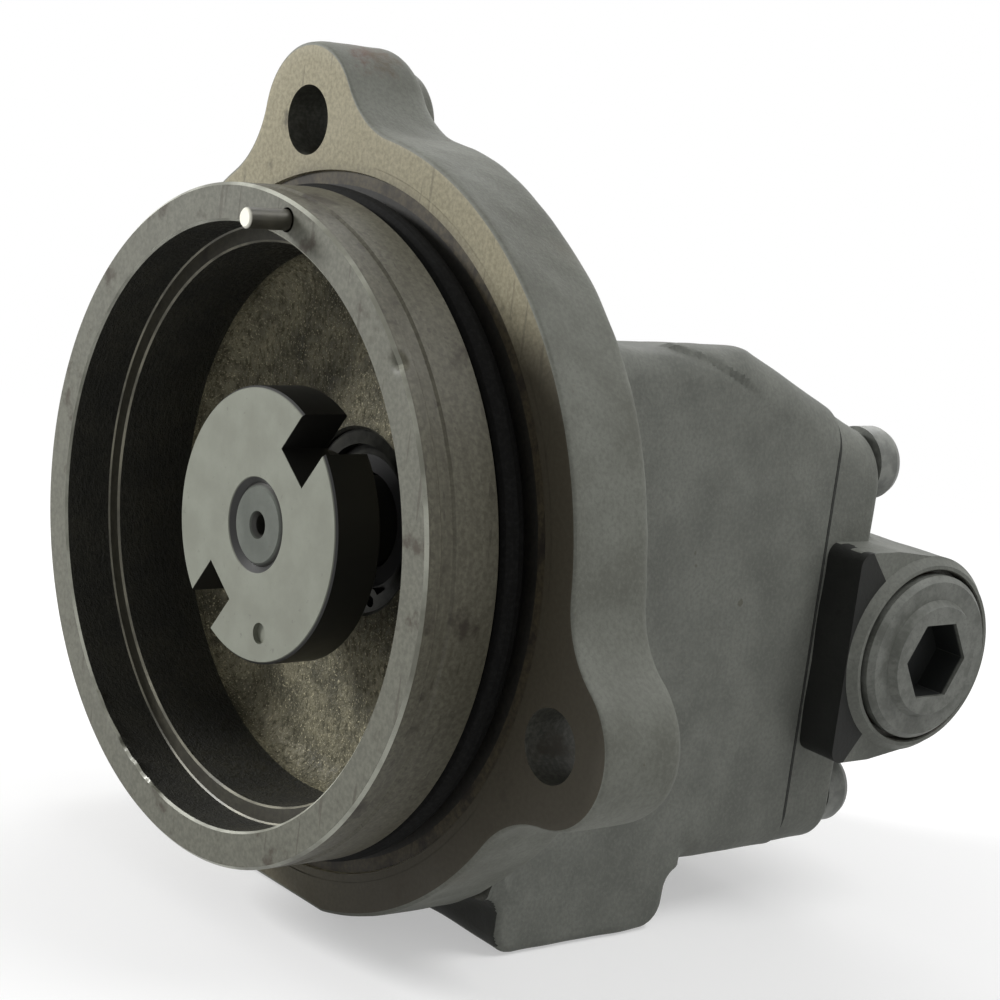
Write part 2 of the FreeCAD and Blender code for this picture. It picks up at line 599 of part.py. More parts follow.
def seal_retaining_ring():
    """Internal ring with its open ends and two plier holes."""
    outer, inner = SEAL_R + RING_BITE - FIT, SEAL_R + RING_BITE - RING_RADIAL
    ring = rod_y(outer, RING_Y, RING_Y + RING_T).cut(rod_y(inner, RING_Y - 1, RING_Y + RING_T + 1))
    ring = ring.cut(block(-3.0, 3.0, RING_Y - 1, RING_Y + RING_T + 1, -outer - 1, 0))
    for sx in (-1, 1):
        x, z = polar(inner + 0.6, -90 + sx * 22)
        lug = rod_y(2.1, RING_Y, RING_Y + RING_T, x, z)
        ring = ring.fuse(lug).cut(rod_y(0.9, RING_Y - 1, RING_Y + RING_T + 1, x, z))
    return ring.removeSplitter()


def cover_outline(y0, y1):
    plate = block(-CASE_HALF_W, CASE_HALF_W, y0, y1, COVER_BOTTOM, COVER_TOP)
    mid, quarter = (y0 + y1) / 2, (y1 - y0) / 4
    plate = rounded(plate, COVER_CORNER, lambda p: abs(p.y - mid) < quarter)
    return plate.cut(slope_wedge())


def rear_cover():
    """Cover plate with the cross-lying relief valve housing and its plug face."""
    plate = cover_outline(COVER_Y, COVER_END)
    flare = COVER_Y + VALVE_FLARE_Y
    housing = fuse(rod_x(VALVE_R, VALVE_X0, VALVE_X1, VALVE_Y, VALVE_Z),
                   prism_x([(COVER_Y, VALVE_Z - VALVE_HALF_Z), (flare, VALVE_Z - VALVE_HALF_Z),
                            (VALVE_Y, VALVE_Z - VALVE_R), (VALVE_Y, VALVE_Z + VALVE_R),
                            (flare, VALVE_Z + VALVE_HALF_Z), (COVER_Y, VALVE_Z + VALVE_HALF_Z)],
                           VALVE_X0, VALVE_X1))
    rim_r = VALVE_R - RIM_SETBACK
    rim = spin_x([(VALVE_X1 - 1, 0), (VALVE_X1 - 1, rim_r), (VALVE_X1, rim_r),
                  (FACE_X, rim_r - RIM_BEVEL), (FACE_X, 0)], VALVE_Y, VALVE_Z)
    shape = fuse(plate, housing, rim)
    hollows = [rod_x(SPOT_R, SPOT_X, FACE_X + 1, VALVE_Y, VALVE_Z),
               rod_x(PLUG_THREAD_R, PLUG_IN - 0.5, FACE_X, VALVE_Y, VALVE_Z),
               rod_x(CHAMBER_R, SEAT_X + LAND_BORE, FACE_X, VALVE_Y, VALVE_Z),
               rod_x(PISTON_R + FIT, SEAT_X, FACE_X, VALVE_Y, VALVE_Z),
               rod_x(FEED_R, FEED_END, SEAT_X + 1, VALVE_Y, VALVE_Z)]
    for sx in (-1, 1):
        hollows.append(rod_y(PORT_DRILL_R, COVER_Y - 1, VALVE_Y, sx * GALLERY_X, MID_Z))
    for x, z in SCREWS:
        hollows.append(rod_y(SCREW_R + HOLE_GAP, COVER_Y - 1, COVER_END + 1, x, z))
    for x, z in DOWELS:
        hollows.append(rod_y(DOWEL_R + FIT, COVER_Y - 1, COVER_Y + DOWEL_LEN / 2, x, z))
    for hollow in hollows:
        shape = shape.cut(hollow)
    return shape


def cover_gasket():
    shape = cover_outline(CASE_REAR, COVER_Y)
    shape = shape.cut(figure_eight(CHAMBER_BORE_R + 0.6, CASE_REAR - 1, COVER_Y + 1))
    for sx in (-1, 1):
        shape = shape.cut(rod_y(GALLERY_R + 0.4, CASE_REAR - 1, COVER_Y + 1, sx * GALLERY_X, MID_Z))
    for x, z in SCREWS:
        shape = shape.cut(rod_y(SCREW_R + HOLE_GAP, CASE_REAR - 1, COVER_Y + 1, x, z))
    for x, z in DOWELS:
        shape = shape.cut(rod_y(DOWEL_R + HOLE_GAP, CASE_REAR - 1, COVER_Y + 1, x, z))
    return shape


def cover_bolt(x, z):
    """Socket head screw that holds the cover, threaded end towards -Y."""
    profile = [(0, COVER_END - SCREW_LEN), (SCREW_R - 0.7, COVER_END - SCREW_LEN),
               (SCREW_R, COVER_END - SCREW_LEN + 0.7), (SCREW_R, COVER_END), (SCREW_HEAD_R, COVER_END),
               (SCREW_HEAD_R, COVER_END + SCREW_HEAD_H - HEAD_EDGE),
               (SCREW_HEAD_R - 0.5, COVER_END + SCREW_HEAD_H - 0.5),
               (SCREW_HEAD_R - HEAD_EDGE, COVER_END + SCREW_HEAD_H), (0, COVER_END + SCREW_HEAD_H)]
    top = COVER_END + SCREW_HEAD_H
    socket = prism_y(hexagon(SCREW_HEX), top - SCREW_HEX_DEPTH, top + 1)
    shape = spin(profile).cut(socket)
    shape.translate(vec(x, 0, z))
    return shape


def cover_bolts():
    return Part.makeCompound([cover_bolt(x, z) for x, z in SCREWS])


def cover_dowels():
    y0 = CASE_REAR - DOWEL_LEN / 2
    pins = []
    for x, z in DOWELS:
        pins.append(rod_y(DOWEL_R, y0, COVER_Y + DOWEL_LEN / 2 - 0.5, x, z))
    return Part.makeCompound(pins)


def relief_piston():
    land = SEAT_X + PISTON_LAND
    profile = [(SEAT_X + FIT, 0), (SEAT_X + FIT, PISTON_R), (land, PISTON_R), (land, PISTON_STEM_R),
               (STEM_END - 0.8, PISTON_STEM_R), (STEM_END, PISTON_STEM_R - 0.8), (STEM_END, 0)]
    return spin_x(profile, VALVE_Y, VALVE_Z)


def relief_spring():
    """Wire spring between the piston land and the plug, drawn as short straight lengths of wire."""
    x0 = SEAT_X + PISTON_LAND + WIRE_R + FIT
    length = PLUG_IN - WIRE_R - FIT - x0
    sides, per_turn = 6, 14
    count = per_turn * SPRING_TURNS
    rings = []
    for k in range(count + 1):
        turn = 2 * math.pi * k / per_turn
        ring = []
        for n in range(sides):
            a = 2 * math.pi * n / sides
            radius = SPRING_R + WIRE_R * math.cos(a)
            x = x0 + length * k / count + WIRE_R * math.sin(a)
            ring.append(vec(x, VALVE_Y + radius * math.cos(turn), VALVE_Z + radius * math.sin(turn)))
        rings.append(ring)
    faces = []
    for k in range(count):
        for n in range(sides):
            a, b = rings[k][n], rings[k][(n + 1) % sides]
            c, d = rings[k + 1][(n + 1) % sides], rings[k + 1][n]
            faces.append(Part.Face(Part.makePolygon([a, b, c, a])))
            faces.append(Part.Face(Part.makePolygon([a, c, d, a])))
    for ring in (rings[0], rings[-1]):
        faces.append(Part.Face(Part.makePolygon(ring + ring[:1])))
    spring = Part.Solid(Part.Shell(faces))
    if spring.Volume < 0:
        spring.reverse()
    return spring


def relief_plug():
    """Screw plug with its collar, hexagon socket and the guide bore for the piston stem."""
    thread = PLUG_THREAD_R - FIT
    profile = [(PLUG_IN, 0), (PLUG_IN, thread - 1), (PLUG_IN + 1, thread), (COLLAR_X, thread),
               (COLLAR_X, PLUG_COLLAR_R), (COLLAR_END - 0.9, PLUG_COLLAR_R),
               (COLLAR_END, PLUG_COLLAR_R - 0.9), (COLLAR_END, PLUG_HUB_R + 0.4),
               (COLLAR_END + PLUG_HUB_H, PLUG_HUB_R - 0.4),
               (COLLAR_END + PLUG_HUB_H, 0)]
    face = COLLAR_END + PLUG_HUB_H
    corners = [(VALVE_Y + a, VALVE_Z + b) for a, b in hexagon(PLUG_HEX)]
    socket = prism_x(corners, face - PLUG_HEX_DEPTH, face + 1)
    guide = rod_x(PISTON_STEM_R + RUNNING, PLUG_IN - 1, GUIDE_END, VALVE_Y, VALVE_Z)
    return spin_x(profile, VALVE_Y, VALVE_Z).cut(socket).cut(guide)


def plug_washer():
    ring = rod_x(PLUG_COLLAR_R - 0.2, SPOT_X, COLLAR_X, VALVE_Y, VALVE_Z)
    return ring.cut(rod_x(PLUG_THREAD_R + FIT, SPOT_X - 1, COLLAR_X + 1, VALVE_Y, VALVE_Z))


def build():
    outer = seal_parts(OUTER_SEAL_Y, False)
    inner = seal_parts(INNER_SEAL_Y, False)
    front, rear = bush_pair(True), bush_pair(False)
    nodes = {
        "pump_flange": pump_flange(),
        "pump_body": pump_body(),
        "rim_dowel_pin": rim_dowel_pin(),
        "pilot_o_ring": pilot_o_ring(),
        "drive_coupler": drive_coupler(),
        "drive_shaft": drive_shaft(),
        "drive_gear": drive_gear(),
        "drive_gear_key": key_box(0),
        "idler_shaft": idler_shaft(),
        "idler_gear": idler_gear(),
        "front_bearing_block": front_bearing_block(),
        "rear_bearing_block": rear_bearing_block(),
        "front_drive_bush": bush(front[0], front[1], 0),
        "front_idler_bush": bush(front[0], front[1], IDLER_Z),
        "rear_drive_bush": bush(rear[0], rear[1], 0),
        "rear_idler_bush": bush(rear[0], rear[1], IDLER_Z),
        "block_seals": block_seals(),
        "outer_seal_case": outer[0],
        "outer_seal_lip": outer[1],
        "outer_seal_spring": outer[2],
        "inner_seal_case": inner[0],
        "inner_seal_lip": inner[1],
        "inner_seal_spring": inner[2],
        "seal_retaining_ring": seal_retaining_ring(),
        "rear_cover": rear_cover(),
        "cover_gasket": cover_gasket(),
        "cover_bolts": cover_bolts(),
        "cover_dowels": cover_dowels(),
        "relief_piston": relief_piston(),
        "relief_spring": relief_spring(),
        "relief_plug": relief_plug(),
        "plug_washer": plug_washer(),
    }
    os.makedirs("parts", exist_ok=True)
    for name, shape in nodes.items():
        shape.exportStep("parts/" + name + ".step")
        print(name, len(shape.Solids), "solids, valid", shape.isValid(), round(shape.Volume, 1), "mm3")


build()
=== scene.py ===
import logging
import math
from dataclasses import dataclass, field
from enum import Enum
from typing import Callable, Dict, List, Optional, Sequence, Tuple

import bmesh
import bpy
import numpy as np
from mathutils import Matrix, Vector


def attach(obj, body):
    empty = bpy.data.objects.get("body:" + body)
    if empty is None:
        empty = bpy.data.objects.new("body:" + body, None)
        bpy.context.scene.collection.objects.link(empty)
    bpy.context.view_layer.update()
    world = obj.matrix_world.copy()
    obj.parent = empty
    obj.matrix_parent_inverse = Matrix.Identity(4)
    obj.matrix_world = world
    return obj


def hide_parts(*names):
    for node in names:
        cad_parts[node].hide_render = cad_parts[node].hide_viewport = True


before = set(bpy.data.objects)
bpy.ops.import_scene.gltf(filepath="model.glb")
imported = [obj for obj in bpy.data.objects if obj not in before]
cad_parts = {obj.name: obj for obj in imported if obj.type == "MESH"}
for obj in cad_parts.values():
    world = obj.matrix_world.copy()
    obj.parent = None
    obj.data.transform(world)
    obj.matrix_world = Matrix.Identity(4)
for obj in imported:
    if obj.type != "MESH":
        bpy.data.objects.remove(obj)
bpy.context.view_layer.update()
log = logging.getLogger("fuel_gear_pump")

Colour = Tuple[float, float, float]
Socket = bpy.types.NodeSocket
MM = 0.001
SHARP_EDGE = math.radians(32.0)
WAVE_COUNT = 14
HALVINGS = 26
SLOPE_FROM = (51.0, 34.4)
SLOPE_FALL = 0.455


# Meshes

def grid_object(name: str, points: np.ndarray, around: bool = True, closed: bool = True,
                bands: Optional[np.ndarray] = None, inward: bool = False,
                poles: bool = False) -> bpy.types.Object:
    """Makes a mesh of four-sided faces from a grid of points.

    Args:
        name: the object's name.
        points: array of shape (rows, columns, 3) in millimetres; a row runs round the piece.
        around: True where the last column joins the first.
        closed: True where the last row joins the first, as on a ring of closed section.
        bands: material number of each row of faces, or of each face as rows and columns.
        inward: True where rows and columns turn the other way, so that faces still point out.
        poles: True where end rows shrink to a point, which is then made one vertex.

    Returns:
        The new object, at the origin, with its place in its mesh.
    """
    rows, cols = points.shape[:2]
    row = np.arange(rows if closed else rows - 1)
    col = np.arange(cols if around else cols - 1)
    r, c = np.meshgrid(row, col, indexing="ij")
    r1, c1 = (r + 1) % rows, (c + 1) % cols
    corners = np.stack([r * cols + c, r * cols + c1, r1 * cols + c1, r1 * cols + c], axis=-1)
    if inward:
        corners = corners[..., ::-1]
    faces = corners.reshape(-1, 4)
    mesh = bpy.data.meshes.new(name)
    mesh.vertices.add(rows * cols)
    mesh.vertices.foreach_set("co", (points.reshape(-1, 3) * MM).astype(np.float32).ravel())
    mesh.loops.add(faces.size)
    mesh.loops.foreach_set("vertex_index", faces.astype(np.int32).ravel())
    mesh.polygons.add(len(faces))
    mesh.polygons.foreach_set("loop_start", np.arange(0, faces.size, 4, dtype=np.int32))
    mesh.polygons.foreach_set("loop_total", np.full(len(faces), 4, dtype=np.int32))
    if bands is not None:
        numbers = np.asarray(bands, dtype=np.int32)[: len(row)]
        numbers = np.repeat(numbers, len(col)) if numbers.ndim == 1 else numbers[:, : len(col)].ravel()
        mesh.polygons.foreach_set("material_index", numbers)
    mesh.update(calc_edges=True)
    if poles:
        merge = bmesh.new()
        merge.from_mesh(mesh)
        bmesh.ops.remove_doubles(merge, verts=merge.verts, dist=1e-8)
        merge.to_mesh(mesh)
        merge.free()
    mesh.validate()
    mesh.shade_smooth()
    mesh.set_sharp_from_angle(angle=SHARP_EDGE)
    piece = bpy.data.objects.new(name, mesh)
    bpy.context.scene.collection.objects.link(piece)
    return piece


def drill(piece: bpy.types.Object, tools: Sequence[bpy.types.Object]) -> None:
    """Cuts the tools out of a piece, applies the cuts and removes the tools."""
    for tool in tools:
        cut = piece.modifiers.new("hole", "BOOLEAN")
        cut.operation, cut.solver, cut.object = "DIFFERENCE", "MANIFOLD", tool
    bpy.context.view_layer.update()
    graph = bpy.context.evaluated_depsgraph_get()
    mesh = bpy.data.meshes.new_from_object(piece.evaluated_get(graph))
    piece.modifiers.clear()
    piece.data = mesh
    mesh.set_sharp_from_angle(angle=SHARP_EDGE)
    for tool in tools:
        bpy.data.objects.remove(tool)


def rod(name: str, base: Sequence[float], axis: str, radius: float, length: float,
        sides: int = 64, thread: Tuple[float, float] = (0.0, 1.0)) -> bpy.types.Object:
    """Makes a closed rod along X, Y or Z, its end faces drawn in to their middle points.

    With a thread the radius grows outwards by a triangle wave of depth over pitch plus the
    share of a turn, so that its crest winds round the rod as a helix.

    Args:
        name: the object's name.
        base: middle of its first end, millimetres.
        axis: X, Y or Z.
        radius: its radius, millimetres.
        length: its length, negative to run the other way.
        sides: number of faces round it.
        thread: depth and pitch of the thread.

    Returns:
        The new object.
    """
    depth, pitch = thread
    steps = 1 if depth == 0 else int(abs(length) / pitch * 8)
    along = np.concatenate([[0.0], np.linspace(0, length, steps + 1), [length]])
    turn = np.linspace(0, 2 * np.pi, sides, endpoint=False)
    phase = (np.abs(along)[:, None] / pitch + turn / (2 * np.pi)) % 1.0
    spread = radius + depth * (1 - np.abs(2 * phase - 1))
    spread[[0, -1]] = 0.0
    k = "XYZ".index(axis)
    points = np.empty((len(along), sides, 3))
    points[..., k] = base[k] + along[:, None]
    points[..., (k + 1) % 3] = base[(k + 1) % 3] + spread * np.cos(turn)
    points[..., (k + 2) % 3] = base[(k + 2) % 3] + spread * np.sin(turn)
    tool = grid_object(name, points, closed=False, inward=length < 0, poles=True)
    tool.data.materials.append(Finish.SEAT.material())
    return tool


def waves(points: np.ndarray, size: float, seed: int) -> np.ndarray:
    """Soft unevenness: a sum of plane sine waves in fixed random directions.

    Args:
        points: array (..., 3) in millimetres.
        size: typical wavelength in millimetres.
        seed: number that fixes the directions.

    Returns:
        Array of values, mostly within -1 and 1.
    """
    rng = np.random.default_rng(seed)
    directions = rng.normal(size=(WAVE_COUNT, 3))
    directions /= np.linalg.norm(directions, axis=1)[:, None]
    lengths = size * rng.uniform(0.6, 1.6, WAVE_COUNT)
    phases = rng.uniform(0, 2 * np.pi, WAVE_COUNT)
    total = np.zeros(points.shape[:-1])
    for direction, length, phase in zip(directions, lengths, phases):
        total += np.sin(points @ direction * (2 * np.pi / length) + phase)
    return total / math.sqrt(WAVE_COUNT)


def round_union(a: np.ndarray, b: np.ndarray, radius: float) -> np.ndarray:
    """Union of two distance fields whose inner corner gets a hollow of this radius."""
    reach = np.hypot(np.maximum(radius - a, 0), np.maximum(radius - b, 0))
    return np.maximum(radius, np.minimum(a, b)) - reach


def round_meet(a: np.ndarray, b: np.ndarray, radius: float) -> np.ndarray:
    """Common part of two distance fields whose outer edge is rounded with this radius."""
    reach = np.hypot(np.maximum(radius + a, 0), np.maximum(radius + b, 0))
    return np.minimum(-radius, np.maximum(a, b)) + reach


def ramp(past: np.ndarray, width: float) -> np.ndarray:
    """Rises from 0 to 1 as a value goes from 0 to the width, and stays there."""
    return np.clip(past / width, 0, 1)


def slope_field(y: np.ndarray, z: np.ndarray) -> np.ndarray:
    """Distance above the falling part of the top, a plane that case and cover share."""
    return (z - SLOPE_FROM[1] + (y - SLOPE_FROM[0]) * SLOPE_FALL) / math.hypot(1.0, SLOPE_FALL)


def rays_about_y(stations: np.ndarray, turns: np.ndarray, middle_z: float
                 ) -> Tuple[np.ndarray, np.ndarray]:
    """Gives starts and directions of rays that leave a line along Y at each station and angle."""
    y, a = np.meshgrid(stations, turns, indexing="ij")
    origin = np.stack([np.zeros_like(y), y, np.full_like(y, middle_z)], axis=-1)
    direction = np.stack([np.cos(a), np.zeros_like(a), np.sin(a)], axis=-1)
    return origin, direction


def skin(origin: np.ndarray, direction: np.ndarray, near: float, far: float,
         field_at: Callable[[np.ndarray], np.ndarray]) -> np.ndarray:
    """Finds where rays leave a solid given by a distance field, by halving the interval.

    Args:
        origin: ray starts, inside the solid, array (..., 3).
        direction: unit directions, array (..., 3).
        near: a distance along the ray that is inside.
        far: a distance along the ray that is outside.
        field_at: gives the distance field at points, negative inside.

    Returns:
        The points of the skin, array (..., 3).
    """
    low = np.full(direction.shape[:-1], near)
    high = np.full(direction.shape[:-1], far)
    for _ in range(HALVINGS):
        middle = (low + high) / 2
        inside = field_at(origin + direction * middle[..., None]) < 0
        low, high = np.where(inside, middle, low), np.where(inside, high, middle)
    return origin + direction * ((low + high) / 2)[..., None]


def profile_path(corners: Sequence[Tuple[float, float, int]], band_of: Sequence[int]
                 ) -> Tuple[np.ndarray, np.ndarray]:
    """Divides a profile into short steps.

    Args:
        corners: (radius, y, steps to the next corner) in order.
        band_of: material number of each stretch.

    Returns:
        Points (n, 2) and the material number of each step.
    """
    pts: List[np.ndarray] = []
    bands: List[int] = []
    for k, (r0, y0, steps) in enumerate(corners):
        r1, y1, _ = corners[(k + 1) % len(corners)]
        share = np.arange(steps)[:, None] / steps
        pts.append(np.array([[r0, y0]]) * (1 - share) + np.array([[r1, y1]]) * share)
        bands += [band_of[k]] * steps
    return np.concatenate(pts), np.array(bands)


# Materials

def tone(red: int, green: int, blue: int) -> Colour:
    """Turns display values from 0 to 255 into the linear values that shaders take."""
    values = np.array([red, green, blue]) / 255.0
    linear = np.where(values <= 0.04045, values / 12.92, ((values + 0.055) / 1.055) ** 2.4)
    return (float(linear[0]), float(linear[1]), float(linear[2]))


class Shader:
    """Builds one material's nodes on Object coordinates, in metres."""

    def __init__(self, name: str) -> None:
        """Starts an empty material with its surface shader."""
        self.material = bpy.data.materials.new(name)
        self.material.use_nodes = True
        self.tree = self.material.node_tree
        self.tree.nodes.clear()
        self.surface = self.tree.nodes.new("ShaderNodeBsdfPrincipled")
        out = self.tree.nodes.new("ShaderNodeOutputMaterial")
        self.tree.links.new(self.surface.outputs[0], out.inputs[0])
        self.place = self.tree.nodes.new("ShaderNodeTexCoord").outputs["Object"]
        self._xyz: Optional[bpy.types.Node] = None

    def put(self, value: object, socket: Socket) -> None:
        """Links an output to a socket, or writes a plain value into it."""
        if isinstance(value, bpy.types.NodeSocket):
            self.tree.links.new(value, socket)
        elif isinstance(value, tuple) and len(value) == 3 and socket.type == "RGBA":
            socket.default_value = (*value, 1.0)
        else:
            socket.default_value = value

    def axis(self, name: str) -> Socket:
        """Gives one Object coordinate, X, Y or Z, in metres."""
        if self._xyz is None:
            self._xyz = self.tree.nodes.new("ShaderNodeSeparateXYZ")
            self.tree.links.new(self.place, self._xyz.inputs[0])
        return self._xyz.outputs[name]

    def sum(self, kind: str, a: object, b: object = 0.0) -> Socket:
        """Adds a Math node of the given kind."""
        node = self.tree.nodes.new("ShaderNodeMath")
        node.operation = kind
        self.put(a, node.inputs[0])
        self.put(b, node.inputs[1])
        return node.outputs[0]

    def span(self, value: object, low: float, high: float) -> Socket:
        """Maps a value smoothly from 0 at low to 1 at high; low may be above high."""
        node = self.tree.nodes.new("ShaderNodeMapRange")
        node.interpolation_type = "SMOOTHSTEP"
        self.put(value, node.inputs["Value"])
        start, end = (low, high) if low < high else (high, low)
        node.inputs["From Min"].default_value = start
        node.inputs["From Max"].default_value = end
        node.inputs["To Min"].default_value = 0.0 if low < high else 1.0
        node.inputs["To Max"].default_value = 1.0 if low < high else 0.0
        return node.outputs[0]

    def noise(self, size_mm: float, detail: float = 3.0, rough: float = 0.55,
              stretch: Tuple[float, float, float] = (1.0, 1.0, 1.0),
              shift: float = 0.0) -> Socket:
        """Adds noise whose blobs are about size_mm across, drawn out by stretch."""
        mapping = self.tree.nodes.new("ShaderNodeMapping")
        mapping.inputs["Scale"].default_value = [1.0 / s for s in stretch]
        mapping.inputs["Location"].default_value = (shift, shift * 0.7, -shift)
        self.tree.links.new(self.place, mapping.inputs["Vector"])
        node = self.tree.nodes.new("ShaderNodeTexNoise")
        node.inputs["Scale"].default_value = 1000.0 / size_mm
        node.inputs["Detail"].default_value = detail
        node.inputs["Roughness"].default_value = rough
        self.tree.links.new(mapping.outputs[0], node.inputs["Vector"])
        return node.outputs["Fac"]

    def reach(self, place_mm: Sequence[float], axes: str = "XYZ") -> Socket:
        """Gives the distance from a place, counted along the named axes, in metres."""
        total: object = 0.0
        for axis in axes:
            off = self.sum("SUBTRACT", self.axis(axis), place_mm["XYZ".index(axis)] * MM)
            total = self.sum("ADD", self.sum("MULTIPLY", off, off), total)
        return self.sum("SQRT", total)

    def mix(self, share: object, a: object, b: object) -> Socket:
        """Mixes two colours."""
        node = self.tree.nodes.new("ShaderNodeMix")
        node.data_type = "RGBA"
        self.put(share, node.inputs["Factor"])
        self.put(a, node.inputs["A"])
        self.put(b, node.inputs["B"])
        return node.outputs["Result"]

    def tint(self, colour: object, other: object, value: object, low: float, high: float,
             share: float = 1.0) -> Socket:
        """Mixes another colour in as a value goes from low to high, up to the given share."""
        return self.mix(self.sum("MULTIPLY", self.span(value, low, high), share), colour, other)

    def scaled(self, value: object, factor: float, base: object) -> Socket:
        """Gives value times factor plus base."""
        return self.sum("ADD", self.sum("MULTIPLY", value, factor), base)

    def bump(self, height: Socket, strength: float, depth_mm: float,
             under: Optional[Socket] = None) -> Socket:
        """Adds a Bump node of the given depth, over another where there is one."""
        node = self.tree.nodes.new("ShaderNodeBump")
        node.inputs["Strength"].default_value = strength
        node.inputs["Distance"].default_value = depth_mm * MM
        self.tree.links.new(height, node.inputs["Height"])
        if under is not None:
            self.tree.links.new(under, node.inputs["Normal"])
        return node.outputs[0]

    def finish(self, colour: object, roughness: object, metallic: float = 0.0,
               normal: Optional[Socket] = None, specular: float = 0.5) -> bpy.types.Material:
        """Sets the surface's colour, gloss and relief and gives the material."""
        self.put(colour, self.surface.inputs["Base Color"])
        self.put(roughness, self.surface.inputs["Roughness"])
        self.surface.inputs["Metallic"].default_value = metallic
        self.surface.inputs["Specular IOR Level"].default_value = specular
        if normal is not None:
            self.put(normal, self.surface.inputs["Normal"])
        return self.material


@dataclass(frozen=True)
class CastIron:
    """Rough casting skin: even grey-green, sandy grain, few pits and faint brown patches."""

    name: str
    base: Colour
    pale: Colour
    dark: Colour
    stain: Colour
    stain_from: float = 0.66
    grain_depth: float = 0.14
    roughness: Tuple[float, float] = (0.58, 0.78)
    rust: Optional[Tuple[float, float, float, float]] = None
    rusty: Colour = (0.085, 0.035, 0.020)

    def material(self) -> bpy.types.Material:
        """Makes the material."""
        s = Shader(self.name)
        mottle = s.noise(11.0, 4.0, 0.6)
        cloud = s.noise(30.0, 3.0, 0.55, shift=0.3)
        grain = s.noise(0.62, 3.0, 0.6)
        pit = s.noise(2.6, 2.0, 0.4, shift=0.11)
        colour = s.tint(self.dark, self.base, mottle, 0.25, 0.75)
        colour = s.tint(colour, self.pale, grain, 0.46, 0.72, 0.25)
        colour = s.tint(colour, self.dark, grain, 0.52, 0.34, 0.45)
        colour = s.tint(colour, self.stain, cloud, self.stain_from, self.stain_from + 0.14, 0.5)
        colour = s.tint(colour, self.stain, pit, 0.76, 0.80, 0.6)
        if self.rust is not None:
            x, y, z, r = self.rust
            off = s.scaled(s.noise(4.0, 4.0, 0.7, shift=0.6), 0.012, s.reach((x, y, z)))
            patch = s.tint(self.stain, self.rusty, mottle, 0.35, 0.6)
            colour = s.tint(colour, patch, off, r * MM, (r - 4.0) * MM)
        low, high = self.roughness
        rough = s.scaled(grain, high - low, low)
        soft = s.bump(s.noise(6.0, 2.0, 0.5, shift=0.2), 0.30, 0.4)
        normal = s.bump(grain, 0.5, self.grain_depth, soft)
        return s.finish(colour, rough, 0.0, normal, 0.35)


@dataclass(frozen=True)
class BellCasting:
    """Unmachined inside of the bell: a wall painted dark as shade, or rough sandy floor with bright specks.
    """

    name: str
    base: Colour
    dark: Colour
    speck: Colour
    speck_from: float
    grain_mm: float = 0.7
    glow: float = 1.0
    relief: float = 0.35

    def material(self) -> bpy.types.Material:
        """Makes the material."""
        s = Shader(self.name)
        patch = s.noise(8.0, 4.0, 0.65)
        grain = s.noise(self.grain_mm, 4.0, 0.7, stretch=(1.0, 1.0, 1.6))
        fine = s.noise(self.grain_mm * 0.45, 2.0, 0.6, shift=0.4)
        colour = s.tint(self.dark, self.base, patch, 0.30, 0.70)
        colour = s.tint(colour, self.dark, grain, 0.52, 0.36, 0.75)
        colour = s.tint(colour, self.speck, fine, self.speck_from, self.speck_from + 0.12, self.glow)
        normal = s.bump(fine, 0.5, self.relief * 0.4, s.bump(grain, 0.8, self.relief))
        return s.finish(colour, s.span(grain, 0.95, 0.2), 0.0, normal, 0.35)


@dataclass(frozen=True)
class Machined:
    """Turned or ground metal face: faint rings about the drive axis, stains and scratches.

    Painted shade of the pilot, partly oil, darkens it where it lies below the middle, more to the right, and
    towards the pilot, if its share is above 0.
    """

    name: str
    base: Colour
    dark: Colour
    stain: Colour
    metallic: float = 0.3
    roughness: float = 0.45
    rings: float = 0.3
    stain_from: float = 0.56
    stain_mm: float = 8.0
    scratch: float = 0.5
    # Share of painted shade from the pilot, partly oil.
    shade_and_grime: float = 0.0
    on_barrel: bool = False

    def material(self) -> bpy.types.Material:
        """Makes the material."""
        s = Shader(self.name)
        radius = s.reach((0.0, 0.0, 0.0), "XZ")
        turned = s.tree.nodes.new("ShaderNodeTexNoise")
        turned.noise_dimensions = "1D"
        s.put(s.axis("Y") if self.on_barrel else radius, turned.inputs["W"])
        turned.inputs["Scale"].default_value = 1100.0 if self.on_barrel else 4500.0
        turned.inputs["Detail"].default_value = 2.0
        patch = s.noise(self.stain_mm, 5.0, 0.62)
        grain = s.noise(0.7, 3.0, 0.6)
        scratch = s.noise(1.1, 2.0, 0.4, stretch=(1.0, 1.0, 14.0), shift=0.5)
        colour = s.tint(self.dark, self.base, grain, 0.30, 0.72)
        colour = s.tint(colour, self.dark, turned.outputs["Fac"], 0.7, 0.3, self.rings)
        colour = s.tint(colour, self.stain, patch, self.stain_from, self.stain_from + 0.14)
        colour = s.tint(colour, self.stain, scratch, 0.66, 0.70, self.scratch)
        # Painted shade of the pilot, partly oil: darker below the top, more so to the right, and near the
        # pilot.
        if self.shade_and_grime > 0:
            low = s.span(s.scaled(patch, 0.02, s.axis("Z")), 0.056, 0.038)
            side = s.scaled(s.span(s.axis("X"), -0.02, 0.03), 0.5, 0.5)
            near = s.span(s.scaled(patch, 0.004, radius), 0.0565, 0.0540)
            share = s.sum("MAXIMUM", s.sum("MULTIPLY", low, side), s.sum("MULTIPLY", near, 0.35))
            colour = s.mix(s.sum("MULTIPLY", share, self.shade_and_grime), colour, self.stain)
        normal = s.bump(turned.outputs["Fac"], 0.12 * min(1.0, self.rings * 3), 0.03)
        normal = s.bump(grain, 0.2, 0.06, normal)
        rough = s.scaled(patch, 0.25, self.roughness - 0.1)
        return s.finish(colour, rough, self.metallic, normal, 0.4)


